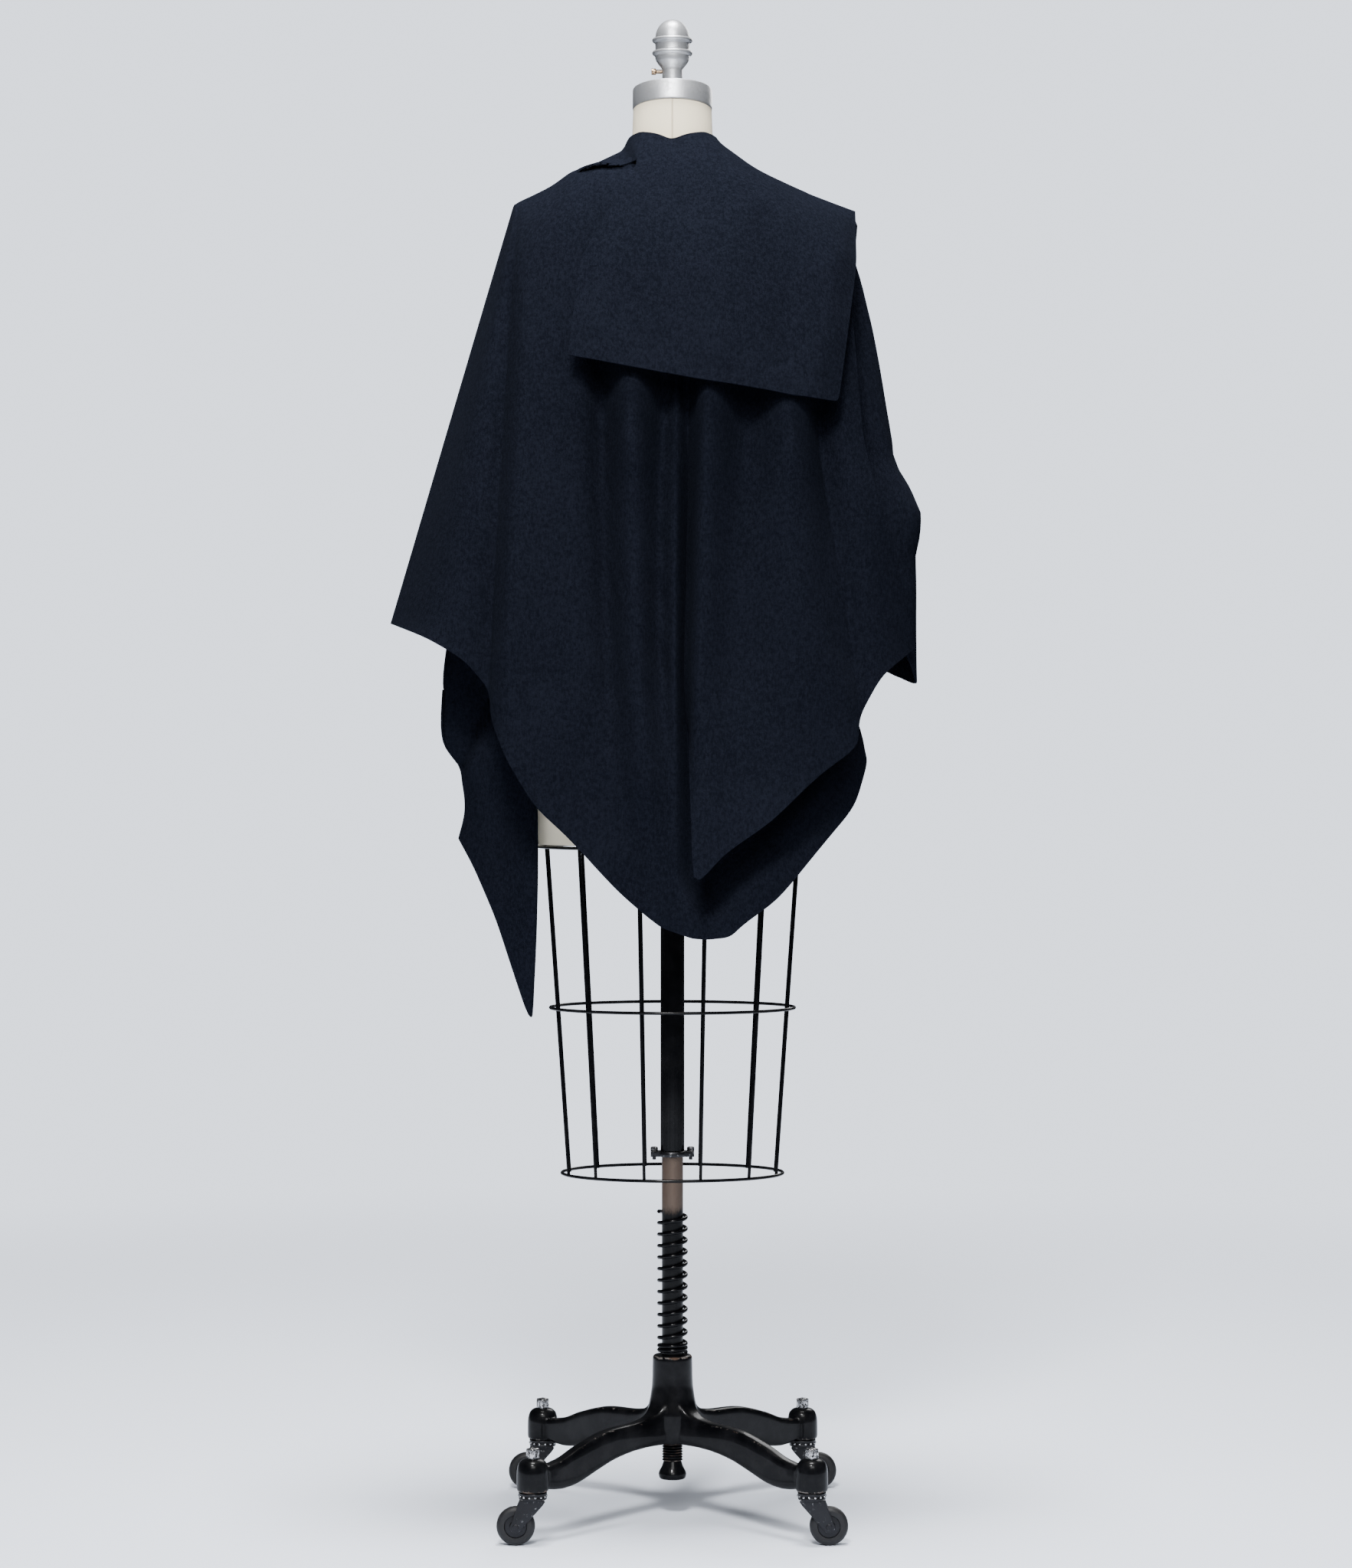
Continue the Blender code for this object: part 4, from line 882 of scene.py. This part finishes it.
def neck():
    """Cap, finial and set screw."""
    half = 0.0115
    radius = 0.0445
    cap = turned_mesh(arcs(((0, half), (radius, half), (radius, -half), (0, -half)), 0.0016), "cap", 120)
    cap.transform(Matrix.Translation((0, 0, 1.5905)) @ Matrix.Rotation(-NECK_TILT, 4, "X"))
    put("neck_cap_metal", cap, SILVER_FINISH, "form", ("neck_cap",))
    low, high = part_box("finial")
    foot = low.z
    top = high.z - foot
    neck_radius = 0.0108
    dome = 0.0182
    drop = 0.0208
    profile = [Vector((dome * math.sin(a) ** 0.92, top - drop + drop * math.cos(a)))
               for a in np.linspace(0.0, math.pi / 2, 24)]
    profile += arcs(((dome, top - drop), (0.021, top - 0.0212), (0.0218, top - 0.023),
                     (0.021, top - 0.025), (0.0184, top - 0.0266), (0.018, top - 0.0345),
                     (0.021, top - 0.0356), (0.0218, top - 0.0374), (0.0208, top - 0.0394),
                     (0.0186, top - 0.041)), 0.001, 4)
    profile += arcs(((0.0186, top - 0.0412), (0.0176, top - 0.046), (0.0142, top - 0.051),
                     (neck_radius, top - 0.055), (neck_radius, 0.0), (0.0, 0.0)), 0.003, 6)
    profile = [Vector((point.x * FINIAL_FULLNESS, point.y)) for point in profile]
    put("finial_metal", turned_mesh(profile, "finial", 96), SILVER_FINISH, "form",
        ("finial",), (0, 0, foot))
    low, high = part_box("finial_screw")
    head = (high.z - low.z) / 2 * 1.2
    length = high.x - low.x
    shank = 0.0022
    screw = turned_mesh(arcs(((0, length), (head, length), (head, length - 0.005),
                              (shank, length - 0.0055), (shank, 0), (0, 0)), 0.0005), "screw", 32)
    screw.transform(Matrix.Translation((high.x, 0, (low.z + high.z) / 2 + SCREW_RISE))
                    @ Matrix.Rotation(-math.pi / 2, 4, "Y"))
    put("finial_screw_brass", screw, BRASS_FINISH, "form", ("finial_screw",))


def cage():
    """Twelve wires inside three oval rings."""
    levels = []
    for name in ("top", "middle", "low"):
        low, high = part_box(f"cage_ring_{name}")
        z = (low.z + high.z) / 2
        half_x = high.x - WIRE_RADIUS
        half_y = high.y - WIRE_RADIUS
        levels.append((z, half_x - RING_SWELL, half_y - RING_SWELL))
        ring = [(half_x * math.cos(a), half_y * math.sin(a), z)
                for a in np.linspace(0, 2 * math.pi, 144, endpoint=False)]
        put(f"cage_ring_{name}_wire", rod_mesh(ring, WIRE_RADIUS, "ring", closed=True),
            STEEL_FINISH, "form", (f"cage_ring_{name}",))
    for number in range(1, 13):
        node = f"cage_wire_{number:02d}"
        low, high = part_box(node)
        angle = 2 * math.pi * (number - 0.5) / 12
        points = [(half_x * math.cos(angle), half_y * math.sin(angle), z) for z, half_x, half_y in levels]
        points[0] = (*points[0][:2], high.z)
        points[-1] = (*points[-1][:2], low.z)
        put(node + "_rod", rod_mesh(points, WIRE_RADIUS, "wire"), STEEL_FINISH, "form",
            (node,))


def stand_column():
    """Tube, pole, clamp with its bolts, and the spring."""
    low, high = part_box("outer_tube")
    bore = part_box("pole")[1].x + 0.0003
    wall = arcs(((bore, low.z), (high.x, low.z), (high.x, high.z), (bore, high.z)), 0.0006)
    put("outer_tube_enamel", turned_mesh(wall, "tube", 96), STEEL_FINISH, "form",
        ("outer_tube",))
    low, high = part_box("pole")
    rod = arcs(((0, low.z), (high.x, low.z), (high.x, high.z), (0, high.z)), 0.0006)
    put("pole_steel", turned_mesh(rod, "pole", 96), BROWN_FINISH, "base", ("pole",))
    put("clamp_plate", solid_copy("height_clamp", 0.0006), DARK_FINISH, "clamp",
        ("height_clamp",))
    for side in ("left", "right"):
        clamp_bolt(f"clamp_bolt_{side}")
    low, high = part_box("coil_spring")
    radius = high.x - SPRING_WIRE
    turns = SPRING_TURNS + SPRING_CLOSED_TURNS
    closed_rise = 2 * SPRING_WIRE + 0.0004
    bottom = low.z
    open_rise = (high.z - bottom - 2 * SPRING_WIRE - SPRING_CLOSED_TURNS * closed_rise) / SPRING_TURNS
    coil = []
    for turn in np.linspace(0, turns, int(turns * 28) + 1):
        closed = min(turn, SPRING_CLOSED_TURNS)
        z = bottom + SPRING_WIRE + closed * closed_rise + (turn - closed) * open_rise
        coil.append((radius * math.cos(2 * math.pi * turn), radius * math.sin(2 * math.pi * turn), z))
    put("coil_spring_wire", rod_mesh(coil, SPRING_WIRE, "spring", sides=10), STEEL_FINISH, "base",
        ("coil_spring",))


def clamp_bolt(node):
    """A hexagon bolt in an ear of the clamp."""
    low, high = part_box(node)
    x = (low.x + high.x) / 2
    head = (high.x - low.x) / 2
    shank = 0.002
    head_bottom = high.z - 0.0042
    crown = turned_mesh(((0, high.z), (head * 0.8, high.z), (head, high.z - 0.001),
                         (head, head_bottom), (0, head_bottom)), "head", 6)
    put(node + "_head", crown, DARK_FINISH, "clamp", (node,), (x, 0, 0), sharp=20)
    rod = turned_mesh(arcs(((0, head_bottom), (shank, head_bottom), (shank, low.z), (0, low.z)), 0.0005),
                      "shank", 24)
    put(node + "_shank", rod, DARK_FINISH, "clamp", (), (x, 0, 0))


def leg_rings(angle):
    """Sections of one arched leg from the hub to its socket, wider where it leaves the hub."""
    reach = 0.2047
    top = smooth_through(((0.01, 0.16), (0.022, 0.134), (0.036, 0.119), (0.06, 0.113),
                          (0.09, 0.1115), (0.115, 0.1085), (0.15, 0.0985), (0.175, 0.089),
                          (reach, 0.083)), 8)
    bottom = smooth_through(((0.01, 0.0835), (0.04, 0.0835), (0.07, 0.0815), (0.098, 0.0765),
                             (0.125, 0.068), (0.15, 0.0595), (0.17, 0.056), (0.188, 0.0565),
                             (reach, 0.06)), 8)
    squareness = 0.4
    rings = []
    for out in np.linspace(0.01, reach, 60):
        high = np.interp(out, top[:, 0], top[:, 1])
        low = np.interp(out, bottom[:, 0], bottom[:, 1])
        half_width = LEG_WIDTH / 2 * (1 + 0.75 * math.exp(-((out - 0.015) / 0.022) ** 2))
        ring = []
        for a in np.linspace(0, 2 * math.pi, 32, endpoint=False):
            c = math.copysign(abs(math.cos(a)) ** squareness, math.cos(a))
            s = math.copysign(abs(math.sin(a)) ** squareness, math.sin(a))
            z = (high + low) / 2 + (high - low) / 2 * s
            ring.append((out * math.cos(angle) - half_width * c * math.sin(angle),
                         out * math.sin(angle) + half_width * c * math.cos(angle), z))
        rings.append(ring)
    return rings


def cast_together(meshes):
    """One casting from overlapping closed meshes, with its inner corners filled and smooth."""
    bm = bmesh.new()
    for mesh in meshes:
        bm.from_mesh(mesh)
    joined = bpy.data.meshes.new("casting")
    bm.to_mesh(joined)
    bm.free()
    return changed(joined, ("REMESH", {"mode": "VOXEL", "voxel_size": CASTING_GRAIN}),
                   ("SMOOTH", {"factor": 0.5, "iterations": 5}))


def base():
    """Hub, legs and domed sockets in one casting, the square pegs, and the foot screw."""
    hub_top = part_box("base_casting")[1].z
    hub = arcs(((0.0, hub_top), (0.0222, hub_top), (0.0226, 0.158), (0.0232, 0.146), (0.0254, 0.132),
                (0.0285, 0.118), (0.0285, 0.104), (0.026, 0.0865), (0.0225, 0.0835), (0.0, 0.0835)),
               0.003, 5)
    parts = [turned_mesh(hub, "hub", 96)]
    dome = arcs(((0.0, 0.0945), (0.0095, 0.0942), (0.0152, 0.09), (0.0174, 0.082),
                 (0.0176, 0.074), (0.0176, 0.058), (0.0, 0.058)), 0.004, 6)
    pegs = [f"caster_peg_{number}" for number in range(1, len(SOCKETS) + 1)]
    for node in pegs:
        low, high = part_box(node)
        x, y, z = (low + high) / 2
        parts.append(loft_mesh(leg_rings(math.atan2(y, x)), "leg"))
        socket = turned_mesh(dome, "socket", 64)
        socket.transform(Matrix.Translation((x, y, 0)))
        parts.append(socket)
    put("base_iron", cast_together(parts), IRON_FINISH, "base", ("base_casting",),
        sharp=180)
    for node in pegs:
        low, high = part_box(node)
        x, y, z = (low + high) / 2
        peg = block_mesh((0.0112, 0.0112, high.z - low.z + 0.003), 0.0018, "peg")
        peg.transform(Matrix.Rotation(math.atan2(y, x), 4, "Z"))
        put(node + "_chrome", peg, CHROME_FINISH, "base", (node,), (x, y, z))
    foot_screw()


def foot_screw():
    """The threaded rod and its disc under the hub."""
    low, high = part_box("foot_screw")
    rod = 0.0116
    disc = high.x
    pitch = 0.003
    thread = [(0.0, high.z), (rod - 0.0008, high.z)]
    z = high.z - 0.0008
    while z > low.z + 0.0215:
        thread += [(rod, z - pitch * 0.25), (rod, z - pitch * 0.4), (rod - 0.0017, z - pitch * 0.75)]
        z -= pitch
    disc_top = low.z + 0.019
    plate = arcs(((rod - 0.001, disc_top), (rod + 0.0006, disc_top - 0.005),
                  (disc - 0.001, disc_top - 0.0095), (disc, disc_top - 0.0125),
                  (disc - 0.0012, low.z + 0.001), (0.0, low.z)), 0.0022, 6)
    put("foot_screw_rod", turned_mesh([Vector(p) for p in thread] + plate, "foot", 64), IRON_FINISH,
        "base", ("foot_screw",))


def casters():
    """Forks with their bearing plates, pins and wheels."""
    for number, (sx, sy) in enumerate(SOCKETS, 1):
        body = f"caster_{number}"
        fork_low, fork_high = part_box(f"caster_fork_{number}")
        wheel_low, wheel_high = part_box(f"caster_wheel_{number}")
        axle = (wheel_low + wheel_high) / 2
        swivel = (axle.x - sx * TRAIL, axle.y, 0)
        plate_top = fork_high.z
        race = arcs(((0, plate_top), (0.0155, plate_top), (0.0155, plate_top - 0.0028),
                     (0.014, plate_top - 0.0034), (0.014, plate_top - 0.0046),
                     (0.0152, plate_top - 0.005), (0.0152, 0.05), (0, 0.05)), 0.0006, 3)
        put(f"{body}_race", turned_mesh(race, "race", 48), DARK_FINISH, body,
            (f"caster_fork_{number}",), swivel)
        put(f"{body}_balls", balls_mesh(14, 0.0148, 0.0015, plate_top - 0.004), CHROME_FINISH, body,
            (), swivel)
        inner = 0.009
        cheek = 0.0018
        outline = [(-0.0125, 0.0512), (-0.0136, 0.0485), (-0.0105, 0.044)]
        outline += [(TRAIL + 0.0062 * math.cos(a), axle.z + 0.0062 * math.sin(a))
                    for a in np.radians(np.linspace(215, 395, 14))]
        outline += [(0.0146, 0.0485), (0.014, 0.0512)]
        outline = [(sx * u, v) for u, v in outline]
        for name, start in (("near", -inner - cheek), ("far", inner)):
            put(f"{body}_cheek_{name}", plate_mesh(outline, start, start + cheek, "cheek"),
                DARK_FINISH, body, (), swivel)
        reach = min((fork_high.y - fork_low.y) / 2, inner + cheek + 0.0008)
        pin = turned_mesh(arcs(((0, reach), (0.0034, reach), (0.0034, -reach), (0, -reach)), 0.0009),
                          "pin", 24)
        pin.transform(Matrix.Translation(axle) @ Matrix.Rotation(math.pi / 2, 4, "X"))
        put(f"{body}_pin", pin, DARK_FINISH, body)
        wheel(number, axle, wheel_high)


def balls_mesh(count, radius, ball, height):
    """The ring of bearing balls that shows between two washers."""
    def build(bm):
        for a in np.linspace(0, 2 * math.pi, count, endpoint=False):
            spot = Matrix.Translation((radius * math.cos(a), radius * math.sin(a), height))
            bmesh.ops.create_icosphere(bm, subdivisions=2, radius=ball, matrix=spot)
    return mesh_of(build, "balls")


def wheel(number, axle, high):
    """A hard rubber tyre on a steel disc."""
    radius = high.z - axle.z
    half = high.y - axle.y
    bore = 0.0036
    tyre = arcs(((0.0125, half - 0.0004), (radius - 0.003, half), (radius, half - 0.0035),
                 (radius, 0.0035 - half), (radius - 0.003, -half), (0.0125, 0.0004 - half),
                 (0.0118, 0.0), (0.0125, half - 0.0004)), 0.0024, 5)
    mesh = turned_mesh(tyre, "tyre", 72)
    turn = Matrix.Translation(axle) @ Matrix.Rotation(math.pi / 2, 4, "X")
    mesh.transform(turn)
    put(f"wheel_{number}_tyre", mesh, RUBBER_FINISH, f"wheel_{number}",
        (f"caster_wheel_{number}",))
    disc = arcs(((bore, half - 0.0002), (0.006, half - 0.0002), (0.0066, half - 0.0016),
                 (0.0122, half - 0.0016), (0.0122, 0.0016 - half), (0.0066, 0.0016 - half),
                 (0.006, 0.0002 - half), (bore, 0.0002 - half), (bore, half - 0.0002)), 0.0005, 2)
    mesh = turned_mesh(disc, "disc", 48)
    mesh.transform(turn)
    put(f"wheel_{number}_disc", mesh, DARK_FINISH, f"wheel_{number}")


def camera():
    lens = bpy.data.cameras.new("camera")
    lens.lens = LENS
    lens.sensor_width = 36.0
    eye = shown("camera", lens)
    eye.location = CAMERA_PLACE
    eye.rotation_euler = (math.pi / 2 - CAMERA_DOWN, 0, 0)
    bpy.context.scene.camera = eye


def softbox(name, place, target, width, height, watts):
    light = bpy.data.lights.new(name, "AREA")
    light.shape = "RECTANGLE"
    light.size = width
    light.size_y = height
    light.energy = watts
    lamp = shown(name, light)
    lamp.location = place
    lamp.rotation_euler = (Vector(target) - Vector(place)).to_track_quat("-Z", "Y").to_euler()


def glow(tree, sight):
    """The surroundings' strength: bright to look at, with less light in them."""
    rays = tree.nodes.new("ShaderNodeLightPath")
    strength = tree.nodes.new("ShaderNodeMapRange")
    tree.links.new(rays.outputs["Is Camera Ray"], strength.inputs[0])
    strength.inputs[3].default_value = ROOM_GLOW
    strength.inputs[4].default_value = sight
    return strength.outputs[0]


def studio():
    """A pale floor that fades into the pale surroundings, and soft lights."""
    world = bpy.data.worlds.new("studio")
    world.use_nodes = True
    sky = world.node_tree.nodes["Background"]
    sky.inputs["Color"].default_value = (*PAPER, 1.0)
    world.node_tree.links.new(glow(world.node_tree, BACKDROP_GLOW), sky.inputs["Strength"])
    bpy.context.scene.world = world
    paper = Finish("floor_paper", PAPER, 0.9, Specular_IOR_Level=0.1)
    x = paper.across(0)
    y = paper.across(1)
    far = (x * x + y * y).between(0.7, 10.0)
    shine = Shade(paper, glow(paper.tree, BACKDROP_GLOW))
    light = paper.node("ShaderNodeEmission", None, {"Color": (*PAPER, 1.0), "Strength": shine})
    surface = paper.node("ShaderNodeMixShader", None,
                         {0: far, 1: Shade(paper, paper.shader.outputs[0]), 2: light})
    ends = paper.tree.nodes["Material Output"]
    paper.tree.links.new(surface.socket, ends.inputs["Surface"])

    def build(bm):
        bmesh.ops.create_circle(bm, cap_ends=True, segments=64, radius=60.0)
    mesh = mesh_of(build, "floor")
    mesh.materials.append(paper.material)
    floor = shown("floor", mesh)
    softbox("key", (-0.3, -2.8, 3.3), (0, 0, 1.15), 0.7, 0.7, 215)
    softbox("front", (0.3, -4.7, 3.0), (0, 0, 1.3), 2.4, 1.4, 130)
    softbox("top", (0.0, -0.3, 4.2), (0, 0, 1.2), 1.0, 1.0, 310)
    softbox("rear", (1.2, 3.2, 2.6), (0, 0, 1.0), 1.6, 1.6, 60)


camera()
studio()
form()
neck()
cage()
stand_column()
base()
casters()
jacket()
